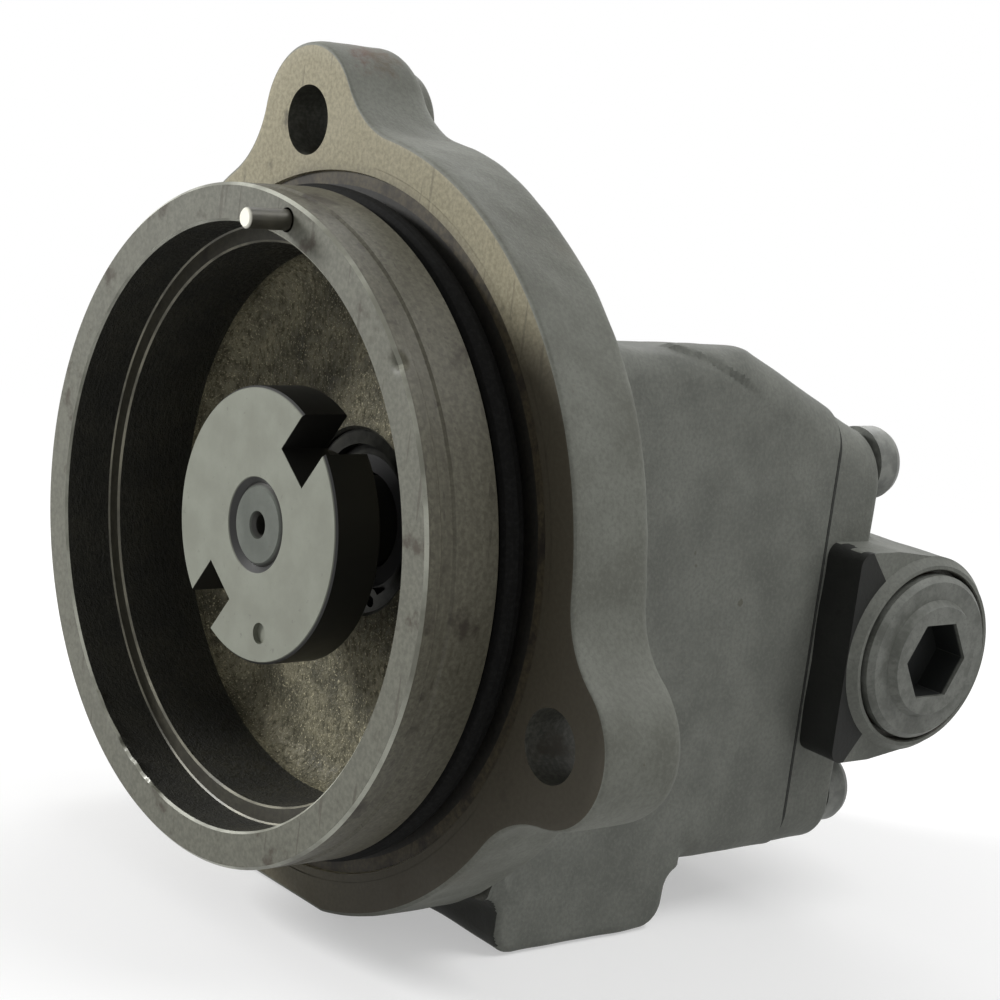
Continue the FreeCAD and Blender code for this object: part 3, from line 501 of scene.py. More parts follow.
@dataclass(frozen=True)
class PlainMetal:
    """Small turned or drawn metal pieces, dull to bright, with light wear."""

    name: str
    base: Colour
    dark: Colour
    metallic: float = 0.6
    roughness: float = 0.4
    patch_mm: float = 4.0
    grain_mm: float = 0.5

    def material(self) -> bpy.types.Material:
        """Makes the material."""
        s = Shader(self.name)
        patch = s.noise(self.patch_mm, 5.0, 0.6)
        grain = s.noise(self.grain_mm, 3.0, 0.6)
        colour = s.tint(self.dark, self.base, patch, 0.35, 0.65)
        colour = s.tint(colour, self.dark, grain, 0.55, 0.75, 0.35)
        rough = s.scaled(patch, 0.2, self.roughness - 0.1)
        return s.finish(colour, rough, self.metallic, s.bump(grain, 0.25, 0.05), 0.5)


@dataclass(frozen=True)
class FaceAndSides:
    """A metal piece whose end face is bright and whose sides are dark, split by place."""

    name: str
    face: Colour
    face_dark: Colour
    side: Colour
    axis: str
    split: Tuple[float, float]
    metallic: float = 0.35
    roughness: float = 0.42
    flecks: Colour = (0.05, 0.045, 0.035)
    dent: Optional[Tuple[float, float, float]] = None

    def material(self) -> bpy.types.Material:
        """Makes the material; a dent's place and radius keep it from being painted as a side."""
        s = Shader(self.name)
        patch = s.noise(5.0, 5.0, 0.6)
        grain = s.noise(0.6, 3.0, 0.6)
        fleck = s.noise(1.2, 3.0, 0.55, shift=0.7)
        colour = s.tint(self.face_dark, self.face, patch, 0.30, 0.72)
        colour = s.tint(colour, self.flecks, fleck, 0.66, 0.74, 0.35)
        colour = s.tint(colour, self.face_dark, grain, 0.50, 0.30, 0.3)
        side = s.span(s.axis(self.axis), self.split[0] * MM, self.split[1] * MM)
        if self.dent is not None:
            x, z, r = self.dent
            side = s.sum("MULTIPLY", side, s.span(s.reach((x, 0.0, z), "XZ"), r * MM, (r + 0.1) * MM))
        colour = s.mix(side, colour, self.side)
        normal = s.bump(grain, 0.2, 0.05)
        rough = s.scaled(patch, 0.2, self.roughness - 0.1)
        return s.finish(colour, rough, self.metallic, normal, 0.5)


@dataclass(frozen=True)
class SocketPlug:
    """Dull turned plug whose socket about a line along X is painted dark as shade."""

    name: str
    base: Colour
    dark: Colour
    inside: Colour
    centre: Tuple[float, float, float]
    socket_r: float

    def material(self) -> bpy.types.Material:
        """Makes the material: the centre's x is the face that the socket opens in."""
        s = Shader(self.name)
        patch = s.noise(4.0, 5.0, 0.65)
        grain = s.noise(0.6, 3.0, 0.6)
        colour = s.tint(self.dark, self.base, patch, 0.35, 0.65)
        colour = s.tint(colour, self.dark, grain, 0.52, 0.32, 0.5)
        # The socket is painted dark as shade.
        inside = s.span(s.reach(self.centre, "YZ"), (self.socket_r + 0.1) * MM, (self.socket_r - 0.1) * MM)
        deep = s.span(s.axis("X"), (self.centre[0] - 0.4) * MM, (self.centre[0] - 0.9) * MM)
        colour = s.mix(s.sum("MULTIPLY", inside, deep), colour, self.inside)
        rough = s.scaled(patch, 0.2, 0.42)
        return s.finish(colour, rough, 0.1, s.bump(grain, 0.35, 0.07), 0.4)


@dataclass(frozen=True)
class Soft:
    """Rubber or pressed fibre: plain, fine-grained, little gloss."""

    name: str
    base: Colour
    roughness: float = 0.6
    shine: float = 0.4

    def material(self) -> bpy.types.Material:
        """Makes the material."""
        s = Shader(self.name)
        grain = s.noise(0.7, 3.0, 0.6)
        lighter = tuple(value * 1.6 + 0.004 for value in self.base)
        colour = s.tint(self.base, lighter, grain, 0.4, 0.75)
        return s.finish(colour, self.roughness, 0.0, s.bump(grain, 0.3, 0.05), self.shine)


class Finish(Enum):
    """The finishes of this pump, by what they are on."""

    CASTING = CastIron("casting", tone(120, 122, 115), tone(140, 142, 134), tone(98, 100, 94),
                       tone(84, 80, 68))
    FLANGE_CASTING = CastIron("flange_casting", tone(116, 118, 110), tone(136, 138, 128),
                              tone(94, 95, 87), tone(82, 72, 56), 0.62,
                              rust=(-9.0, 6.5, 73.0, 13.0))
    # The bell's wall is painted dark as shade.
    BELL_WALL = BellCasting("bell_wall_shade", tone(44, 43, 35), tone(27, 27, 22), tone(70, 68, 54),
                            0.70, 0.7, 0.3)
    BELL_FLOOR = BellCasting("bell_floor", tone(130, 125, 102), tone(62, 60, 46),
                             tone(188, 180, 150), 0.58, 0.8, 0.8, 0.55)
    # The ledge of the bell's step is painted dark as shade.
    LEDGE = Machined("bell_step_shade", tone(62, 60, 49), tone(44, 42, 34), tone(34, 31, 24), 0.1, 0.5)
    # Painted highlight on the thin edges of the bell's step.
    STEP_EDGE = PlainMetal("step_edge_highlight", tone(132, 129, 112), tone(74, 72, 60), 0.1, 0.45, 9.0)
    RIM = Machined("rim_face", tone(98, 98, 87), tone(80, 80, 70), tone(56, 50, 39), 0.05, 0.58,
                   0.1, 0.57, 5.0)
    # Rim edges: bright worn chamfer with a painted highlight.
    RIM_EDGE = PlainMetal("rim_edge_highlight", tone(176, 177, 164), tone(104, 104, 92), 0.1, 0.4, 16.0)
    PILOT = Machined("pilot_land", tone(92, 90, 76), tone(66, 63, 51), tone(40, 34, 24), 0.1, 0.52,
                     0.45, 0.55, 9.0, on_barrel=True)
    # The O-ring groove is painted dark as shade.
    GROOVE = Machined("o_ring_groove_shade", tone(34, 32, 26), tone(18, 17, 14), tone(20, 17, 13), 0.1,
                      0.6)
    RELIEF = Machined("face_relief", tone(70, 63, 46), tone(46, 41, 30), tone(28, 23, 16), 0.1,
                      0.6, 0.2, 0.5)
    # Painted highlight on the edge of the face relief.
    RELIEF_EDGE = PlainMetal("relief_edge_highlight", tone(196, 188, 160), tone(120, 112, 90), 0.1, 0.45,
                             14.0)
    # Mounting face: its last number is the share of painted shade from the pilot, partly oil.
    MOUNTING_FACE = Machined("mounting_face", tone(142, 136, 112), tone(116, 110, 88),
                             tone(40, 35, 25), 0.05, 0.62, 0.1, 0.60, 14.0, 0.3, 0.9)
    SEAT = Machined("machined_seat", tone(96, 96, 88), tone(66, 66, 60), tone(60, 56, 46), 0.3,
                    0.42)
    # Near-black casting finish for the valve housing's front, painted shade.
    OILY = CastIron("valve_front_shade", tone(30, 31, 28), tone(40, 41, 37), tone(20, 21, 19),
                    tone(16, 16, 14))
    # Dark casting finish for the pad's front behind the flange, painted shade.
    OILY_FOOT = CastIron("foot_front_shade", tone(44, 45, 40), tone(58, 59, 53), tone(26, 27, 24),
                         tone(18, 18, 15))
    PIN = FaceAndSides("pin", tone(76, 74, 64), tone(54, 52, 44), tone(226, 224, 210), "Y",
                       (-24.6, -24.95), 0.3)
    COUPLER = FaceAndSides("coupler", tone(118, 121, 109), tone(108, 110, 98), tone(24, 24, 22),
                           "Y", (-11.46, -11.30), 0.1, 0.46, dent=(4.087, -15.469, 1.75))
    SHAFT = FaceAndSides("shaft", tone(86, 90, 83), tone(70, 74, 67), tone(52, 52, 48), "Y",
                         (-11.0, -10.7))
    SEAL_CASE = PlainMetal("seal_case", tone(58, 58, 53), tone(32, 32, 29), 0.5, 0.36)
    RETAINER = PlainMetal("retaining_ring", tone(64, 64, 58), tone(34, 34, 30), 0.6, 0.34)
    RUBBER = Soft("seal_rubber", tone(26, 25, 22), 0.6)
    GASKET = Soft("gasket_sheet", tone(44, 45, 42), 0.8)
    O_RING = Soft("o_ring", tone(11, 11, 10), 0.8, 0.12)
    SCREW = PlainMetal("cover_screws", tone(128, 130, 124), tone(98, 100, 95), 0.1, 0.5, 3.0)
    # The plug's hex socket is painted dark as shade.
    PLUG = SocketPlug("valve_plug", tone(118, 120, 114), tone(90, 92, 86), tone(26, 28, 27),
                      (45.8, 91.5, -14.8), 6.95)
    COPPER = PlainMetal("washer_copper", tone(96, 74, 58), tone(60, 48, 40), 0.5, 0.5)
    GROUND = PlainMetal("ground_steel", tone(176, 176, 172), tone(140, 140, 136), 0.85, 0.28, 6.0)
    WIRE = PlainMetal("spring_wire", tone(120, 120, 116), tone(80, 80, 78), 0.7, 0.38, 2.0)
    ALUMINIUM = PlainMetal("block_aluminium", tone(190, 192, 194), tone(160, 162, 164), 0.85, 0.34,
                           7.0)
    BRONZE = PlainMetal("bush_bronze", tone(178, 142, 92), tone(140, 108, 66), 0.85, 0.34, 4.0)

    def material(self) -> bpy.types.Material:
        """Gives this finish's material, made once."""
        known = bpy.data.materials.get(self.value.name)
        return known if known is not None else self.value.material()

    @property
    def number(self) -> int:
        """Place of this finish in the list."""
        return list(Finish).index(self)


def dress(node: str, finish: Finish) -> bpy.types.Object:
    """Gives a CAD piece one finish in place of its plain colour."""
    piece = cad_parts[node]
    piece.data.materials.clear()
    piece.data.materials.append(finish.material())
    return piece


def paint(piece: bpy.types.Object, numbers: np.ndarray) -> None:
    """Puts a piece's materials in, from the finish number of each of its faces' rows.

    The mesh's material numbers are finish numbers; they are changed to places in a short list.

    Args:
        piece: the new piece.
        numbers: finish numbers that it uses.
    """
    used = [int(number) for number in np.unique(numbers)]
    held = np.empty(len(piece.data.polygons), dtype=np.int32)
    piece.data.polygons.foreach_get("material_index", held)
    lookup = np.zeros(len(Finish), dtype=np.int32)
    lookup[used] = np.arange(len(used))
    piece.data.polygons.foreach_set("material_index", lookup[held])
    for number in used:
        piece.data.materials.append(list(Finish)[number].material())


def stand_for(piece: bpy.types.Object, slot: str, *nodes: str) -> bpy.types.Object:
    """Lets a new piece stand for CAD nodes of the housing and move with it."""
    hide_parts(*nodes)
    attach(piece, "housing")
    log.info("%s has %d faces", piece.name, len(piece.data.polygons))
    return piece


# Studio and camera

@dataclass
class PhotoCamera:
    """The camera that took the picture: angles in degrees, lengths in millimetres."""

    azimuth: float = 49.91
    elevation: float = 11.38
    roll: float = 7.40
    distance: float = 364.7
    aim_right: float = 41.18
    aim_up: float = 3.87
    rim_front_y: float = -18.0
    focal_over_width: float = 2.5008
    sensor: float = 36.0

    def build(self) -> bpy.types.Object:
        """Places the camera; its distance is counted from the point before the rim's centre."""
        a, e, r = (math.radians(v) for v in (self.azimuth, self.elevation, self.roll))
        back = np.array([math.sin(a) * math.cos(e), -math.cos(a) * math.cos(e), math.sin(e)])
        right = np.array([math.cos(a), math.sin(a), 0.0])
        up = np.cross(back, right)
        right, up = math.cos(r) * right + math.sin(r) * up, math.cos(r) * up - math.sin(r) * right
        eye = back * self.distance + right * self.aim_right + up * self.aim_up
        eye = (eye + np.array([0.0, self.rim_front_y, 0.0])) * MM
        lens = bpy.data.cameras.new("photo_camera")
        lens.sensor_width, lens.sensor_fit = self.sensor, "HORIZONTAL"
        lens.lens = self.focal_over_width * self.sensor
        lens.clip_start, lens.clip_end = 0.01, 50.0
        camera = bpy.data.objects.new("photo_camera", lens)
        bpy.context.scene.collection.objects.link(camera)
        rows = [(right[k], up[k], back[k], eye[k]) for k in range(3)]
        camera.matrix_world = Matrix(rows + [(0, 0, 0, 1)])
        bpy.context.scene.camera = camera
        return camera


def blend(tree: bpy.types.NodeTree, share: Socket, a: Socket, b: Socket) -> Socket:
    """Mixes two shaders, a at share 0 and b at share 1."""
    mix = tree.nodes.new("ShaderNodeMixShader")
    for value, socket in zip((share, a, b), mix.inputs):
        tree.links.new(value, socket)
    return mix.outputs[0]


@dataclass
class Studio:
    """Pale floor, white surround and three soft lamps."""

    floor_z: float = -59.2
    floor_size: float = 6000.0
    floor_colour: float = 0.60
    floor_glow: float = 0.42
    fade: Tuple[float, float] = (130.0, 420.0)
    surround: float = 0.42
    aim: Tuple[float, float, float] = (0.0, 35.0, -5.0)
    lamps: Sequence[Tuple[str, Tuple[float, float, float], float, float]] = field(default_factory=lambda: [
        ("key_lamp", (-640.0, -560.0, 330.0), 240.0, 8.6),
        ("top_lamp", (330.0, 330.0, 680.0), 400.0, 2.4),
        ("rear_lamp", (-420.0, 620.0, 520.0), 500.0, 2.0)])

    def build(self) -> None:
        """Makes the floor, the surround and the lamps, all aimed at the pump."""
        self.build_world()
        self.build_floor()
        for name, place, size, power in self.lamps:
            light = bpy.data.lights.new(name, "AREA")
            light.shape, light.size = "DISK", size * MM
            light.energy = power
            lamp = bpy.data.objects.new(name, light)
            bpy.context.scene.collection.objects.link(lamp)
            spot = Vector(place) * MM
            aim = (Vector(self.aim) * MM - spot).to_track_quat("-Z", "Y")
            lamp.matrix_world = Matrix.Translation(spot) @ aim.to_matrix().to_4x4()

    def seen_directly(self, tree: bpy.types.NodeTree) -> Socket:
        """Gives 1 for rays from the camera, mirror rays and rays through glass, else 0."""
        path = tree.nodes.new("ShaderNodeLightPath")
        seen = path.outputs["Is Camera Ray"]
        for kind in ("Is Glossy Ray", "Is Transmission Ray"):
            either = tree.nodes.new("ShaderNodeMath")
            either.operation = "MAXIMUM"
            tree.links.new(seen, either.inputs[0])
            tree.links.new(path.outputs[kind], either.inputs[1])
            seen = either.outputs[0]
        return seen

    def build_world(self) -> None:
        """Makes the surround: white where it is seen, soft grey where it only lights."""
        world = bpy.data.worlds.new("surround")
        bpy.context.scene.world = world
        world.use_nodes = True
        nodes = world.node_tree.nodes
        nodes.clear()
        out = nodes.new("ShaderNodeOutputWorld")
        shades = []
        for strength in (self.surround, 1.0):
            shade = nodes.new("ShaderNodeBackground")
            shade.inputs["Color"].default_value = (1.0, 1.0, 1.0, 1.0)
            shade.inputs["Strength"].default_value = strength
            shades.append(shade.outputs[0])
        seen = self.seen_directly(world.node_tree)
        world.node_tree.links.new(blend(world.node_tree, seen, *shades), out.inputs[0])

    def build_floor(self) -> None:
        """Makes the floor: pale with the pump's shadow near it, plain white further away."""
        half = self.floor_size / 2
        ends = np.array([-half, half])
        points = np.empty((2, 2, 3))
        points[..., 0] = ends[None, :]
        points[..., 1] = ends[:, None]
        points[..., 2] = self.floor_z
        floor = grid_object("studio_floor", points, around=False, closed=False)
        s = Shader("pale_floor")
        floor.data.materials.append(s.finish((self.floor_colour,) * 3, 0.9, 0.0, None, 0.1))
        links = s.tree.links
        glow = s.tree.nodes.new("ShaderNodeEmission")
        glow.inputs["Strength"].default_value = self.floor_glow
        white = s.tree.nodes.new("ShaderNodeEmission")
        near = s.tree.nodes.new("ShaderNodeAddShader")
        links.new(s.surface.outputs[0], near.inputs[0])
        links.new(glow.outputs[0], near.inputs[1])
        away = s.span(s.reach((0.0, 30.0, 0.0), "XY"), self.fade[0] * MM, self.fade[1] * MM)
        seen = blend(s.tree, away, near.outputs[0], white.outputs[0])
        both = blend(s.tree, self.seen_directly(s.tree), s.surface.outputs[0], seen)
        out = next(n for n in s.tree.nodes if n.type == "OUTPUT_MATERIAL")
        links.new(both, out.inputs[0])


# The pump's pieces

@dataclass
class BellAndFlange:
    """Pilot, bell and three-eared flange of the casting, turned about the drive axis."""

    rim_y: float = -18.0
    pilot_r: float = 50.0
    rim_bore_r: float = 44.4
    bell_r: float = 41.65
    step_y: float = -10.1
    floor_y: float = 7.0
    floor_fillet: float = 4.0
    seal_r: float = 14.02
    seal_floor_y: float = 16.5
    shaft_gap_r: float = 7.4
    ring_groove: Tuple[float, float, float] = (15.0, 7.8, 9.0)
    band: Tuple[float, float, float] = (-15.6, -13.0, 0.35)
    groove: Tuple[float, float] = (46.5, -5.6)
    relief: Tuple[float, float] = (52.6, 0.5)
    flange_r: float = 59.0
    flange_t: float = 14.2
    flange_edge: float = 2.4
    flat_z: float = -57.8
    ear_angle: float = 104.0
    bolt_r: float = 60.5
    ear_r: float = 11.6
    ear_blend: float = 16.0
    hole_r: float = 5.25
    pin: Tuple[float, float, float] = (47.2, 79.0, 1.46)
    boss: Tuple[float, float, float] = (8.8, 3.8, 1.5)
    nick: Tuple[float, float, float] = (40.0, 0.9, 1.1)
    burrs: Tuple[float, float, float] = (-134.0, -98.0, 0.4)
    columns: int = 540

    def edge_radius(self, turn: np.ndarray) -> np.ndarray:
        """Outline of the flange: the round plate, three ears and the hollow arcs between.

        Near an ear's axis the radius is where the ray meets the ear's circle; further out it
        meets a hollow circle that touches both the ear and the plate; then the plate itself.
        Below, the flat cuts the radius to flat_z over the sine of the angle.

        Args:
            turn: angles in radians from +X towards +Z.

        Returns:
            The radius at each angle, millimetres.
        """
        off = np.degrees(turn) - self.ear_angle
        off = np.radians(np.abs((off + 60.0) % 120.0 - 60.0))
        far, near = self.flange_r + self.ear_blend, self.ear_r + self.ear_blend
        u = (far ** 2 - near ** 2 + self.bolt_r ** 2) / (2 * self.bolt_r)
        v = math.sqrt(far ** 2 - u ** 2)
        blend_turn = math.atan2(v, u)
        ear_u = self.bolt_r + (u - self.bolt_r) * self.ear_r / near
        ear_end = math.atan2(v * self.ear_r / near, ear_u)
        side = np.clip(self.bolt_r * np.sin(off), -self.ear_r, self.ear_r)
        on_ear = self.bolt_r * np.cos(off) + np.sqrt(self.ear_r ** 2 - side ** 2)
        lean = np.clip(far * np.sin(blend_turn - off), -self.ear_blend, self.ear_blend)
        on_blend = far * np.cos(blend_turn - off) - np.sqrt(self.ear_blend ** 2 - lean ** 2)
        radius = np.where(off < ear_end, on_ear, np.where(off < blend_turn, on_blend, self.flange_r))
        down = np.minimum(np.sin(turn), -1e-6)
        flat = np.where(np.sin(turn) < -0.5, self.flat_z / down, 1e3)
        return np.minimum(radius, flat)

    def profile(self) -> Tuple[np.ndarray, np.ndarray]:
        """Gives the turned part of the section, from the shaft's gap round to the mounting face.

        Returns:
            Points (n, 2) as radius and y, and the finish number of each step.
        """
        fillet = np.linspace(0, np.pi / 2, 9)[1:-1]
        corners: List[Tuple[float, float, int, Finish]] = []

        def add(r: float, y: float, steps: int, finish: Finish) -> None:
            """Adds a corner and how the stretch after it is divided."""
            corners.append((r, y, steps, finish))

        ring_r, ring_y0, ring_y1 = self.ring_groove
        add(self.shaft_gap_r, self.seal_floor_y, 2, Finish.SEAT)
        add(self.seal_r, self.seal_floor_y, 3, Finish.SEAT)
        add(self.seal_r, ring_y1, 1, Finish.SEAT)
        add(ring_r, ring_y1, 1, Finish.SEAT)
        add(ring_r, ring_y0, 1, Finish.SEAT)
        add(self.seal_r, ring_y0, 1, Finish.SEAT)
        add(self.seal_r, self.floor_y + 0.4, 1, Finish.SEAT)
        add(self.seal_r + 0.5, self.floor_y, 14, Finish.BELL_FLOOR)
        add(self.bell_r - self.floor_fillet, self.floor_y, 1, Finish.BELL_FLOOR)
        for a in fillet:
            add(self.bell_r - self.floor_fillet + self.floor_fillet * math.sin(a),
                self.floor_y - self.floor_fillet + self.floor_fillet * math.cos(a), 1, Finish.BELL_FLOOR)
        # Wall and ledge rows are painted dark as shade; the thin rows at the step's and rim's edges carry
        # painted highlights.
        add(self.bell_r, self.floor_y - self.floor_fillet, 10, Finish.BELL_WALL)
        add(self.bell_r, self.step_y + 0.3, 1, Finish.STEP_EDGE)
        add(self.bell_r + 0.3, self.step_y, 3, Finish.LEDGE)
        add(self.rim_bore_r - 0.25, self.step_y, 1, Finish.STEP_EDGE)
        add(self.rim_bore_r, self.step_y - 0.2, 6, Finish.BELL_WALL)
        add(self.rim_bore_r, self.rim_y + 0.35, 1, Finish.RIM_EDGE)
        add(self.rim_bore_r + 0.35, self.rim_y, 8, Finish.RIM)
        add(self.pilot_r - 0.45, self.rim_y, 1, Finish.RIM_EDGE)
        add(self.pilot_r, self.rim_y + 0.45, 4, Finish.PILOT)
        band0, band1, depth = self.band
        add(self.pilot_r, band0, 1, Finish.PILOT)
        add(self.pilot_r - depth, band0 + depth, 2, Finish.PILOT)
        add(self.pilot_r - depth, band1 - depth, 1, Finish.PILOT)
        add(self.pilot_r, band1, 6, Finish.PILOT)
        # The groove rows are painted dark as shade; the thin row at the relief's edge carries a painted
        # highlight.
        groove_r, groove_y = self.groove
        add(self.pilot_r, groove_y - 0.3, 1, Finish.PILOT)
        add(self.pilot_r - 0.3, groove_y, 3, Finish.GROOVE)
        relief_r, relief_y = self.relief
        add(groove_r, groove_y, 4, Finish.GROOVE)
        add(groove_r, relief_y, 3, Finish.GROOVE)
        add(self.pilot_r + 0.6, relief_y, 2, Finish.RELIEF)
        add(relief_r - 0.1, relief_y, 1, Finish.RELIEF_EDGE)
        add(relief_r + 0.1, 0.0, 6, Finish.MOUNTING_FACE)
        path = [corner[:3] for corner in corners] + [(relief_r + 1.6, 0.0, 1)]
        return profile_path(path, [corner[3].number for corner in corners] + [0])

    def rows(self) -> Tuple[np.ndarray, np.ndarray]:
        """Gives every row of the ring as points, with the outline followed at the flange.

        Returns:
            Points (rows, columns, 3) in millimetres and each row's finish number.
        """
        turn = np.linspace(0, 2 * np.pi, self.columns, endpoint=False)
        edge = self.edge_radius(turn)
        flat, bands = self.profile()
        layers = [(np.full(self.columns, r), y, n) for (r, y), n in zip(flat[:-1], bands[:-1])]
        mount, cast = Finish.MOUNTING_FACE.number, Finish.FLANGE_CASTING.number
        inner, chamfer, soft = self.relief[0] + 0.8, 0.5, self.flange_edge
        for share in np.linspace(0.1, 1.0, 9)[:-1]:
            layers.append((inner + (edge - chamfer - inner) * share, 0.0, mount))
        for a in np.linspace(0, np.pi / 2, 4):
            layers.append((edge - chamfer + chamfer * math.sin(a), chamfer - chamfer * math.cos(a), cast))
        for y in np.linspace(chamfer, self.flange_t - soft, 12)[1:]:
            layers.append((edge, y, cast))
        for a in np.linspace(0, np.pi / 2, 8)[1:]:
            layers.append((edge - soft * (1 - math.cos(a)), self.flange_t - soft + soft * math.sin(a), cast))
        hidden_r, back_y = 26.0, self.seal_floor_y + 1.5
        for share in np.linspace(0, 1, 12)[1:]:
            layers.append(((edge - soft) * (1 - share) + hidden_r * share, self.flange_t, cast))
        for radius in (hidden_r - 2.0, self.shaft_gap_r):
            layers.append((np.full(self.columns, radius), back_y, cast))
        r = np.array([layer[0] for layer in layers])
        y = np.array([layer[1] for layer in layers])[:, None]
        points = np.empty(r.shape + (3,))
        points[..., 0], points[..., 1], points[..., 2] = r * np.cos(turn), y, r * np.sin(turn)
        return self.uneven(points), np.array([layer[2] for layer in layers])

    def uneven(self, points: np.ndarray) -> np.ndarray:
        """Moves the cast surfaces a little in and out and wears the rim.

        The machined rows stay, but for a nick in the rim's outer edge, a bell-shaped dent that
        sinks back and inwards, and burrs that lift parts of its inner edge.
        """
        radius = np.hypot(points[..., 0], points[..., 2])
        y = points[..., 1].copy()
        outside = ramp(radius - self.relief[0] - 2, 4) * ramp(y - 0.4, 1.5)
        bump = 0.16 * waves(points, 24.0, 3) + 0.07 * waves(points, 7.0, 4)
        inside = ramp(self.bell_r + 0.2 - radius, 0.4) * ramp(self.floor_y - 0.1 - y, 2)
        move = bump * outside + 0.10 * waves(points, 16.0, 5) * inside
        turn, depth, width = self.nick
        a = math.radians(turn)
        centre = np.array([self.pilot_r * math.cos(a), self.rim_y, self.pilot_r * math.sin(a)])
        dent = depth * np.exp(-(np.linalg.norm(points - centre, axis=-1) / width) ** 2)
        start, end, height = self.burrs
        angle = np.degrees(np.arctan2(points[..., 2], points[..., 0]))
        among = ramp(angle - start, 4.0) * ramp(end - angle, 4.0)
        near = np.exp(-((radius - self.rim_bore_r - 0.2) / 0.5) ** 2) * (y < self.rim_y + 0.5)
        lift = height * among * near * np.clip(1.6 * waves(points, 3.0, 6) + 0.5, 0, 1.4)
        scale = 1 + (move - dent - lift) / np.maximum(radius, 1.0)
        points[..., 0] *= scale
        points[..., 2] *= scale
        points[..., 1] += dent - 0.5 * lift
        return points

    def build(self) -> bpy.types.Object:
        """Makes the piece and drills its ears and its pin hole."""
        points, numbers = self.rows()
        piece = grid_object("bell_and_flange", points, bands=numbers, inward=True)
        paint(piece, numbers)
        tools = []
        for k in range(3):
            a = math.radians(self.ear_angle + 120.0 * k)
            place = (self.bolt_r * math.cos(a), -2.0, self.bolt_r * math.sin(a))
            tools.append(rod(f"ear_drill_{k}", place, "Y", self.hole_r, self.flange_t + 8.0))
        pin_r, pin_turn, drill_r = self.pin
        a = math.radians(pin_turn)
        place = (pin_r * math.cos(a), self.rim_y - 2.0, pin_r * math.sin(a))
        tools.append(rod("pin_drill", place, "Y", drill_r, 9.5, 32))
        drill(piece, tools)
        return stand_for(piece, "cast_iron", "pump_flange")

    def build_boss(self) -> bpy.types.Object:
        """Makes the raised boss behind the top ear, a ring about its hole with a soft edge."""
        boss_r, height, edge = self.boss
        top = self.flange_t + height
        foot = 1.6
        soft = np.linspace(0, np.pi / 2, 6)[1:]
        section = [(self.hole_r, self.flange_t - 1.0), (self.hole_r, top - 0.3), (self.hole_r + 0.3, top),
                   (boss_r - edge, top)]
        section += [(boss_r - edge + edge * math.sin(a), top - edge + edge * math.cos(a)) for a in soft]
        section += [(boss_r + foot * (1 - math.cos(a)), self.flange_t + foot * (1 - math.sin(a)))
                    for a in soft]
        section += [(boss_r + foot, self.flange_t - 1.0)]
        turn = np.linspace(0, 2 * np.pi, 96, endpoint=False)
        a = math.radians(self.ear_angle)
        profile = np.array(section)
        points = np.empty((len(profile), len(turn), 3))
        points[..., 0] = self.bolt_r * math.cos(a) + profile[:, :1] * np.cos(turn)
        points[..., 1] = profile[:, 1:]
        points[..., 2] = self.bolt_r * math.sin(a) + profile[:, :1] * np.sin(turn)
        numbers = np.full(len(profile), Finish.FLANGE_CASTING.number)
        piece = grid_object("top_ear_boss", points, bands=numbers)
        paint(piece, numbers)
        return stand_for(piece, "cast_iron", "pump_flange")


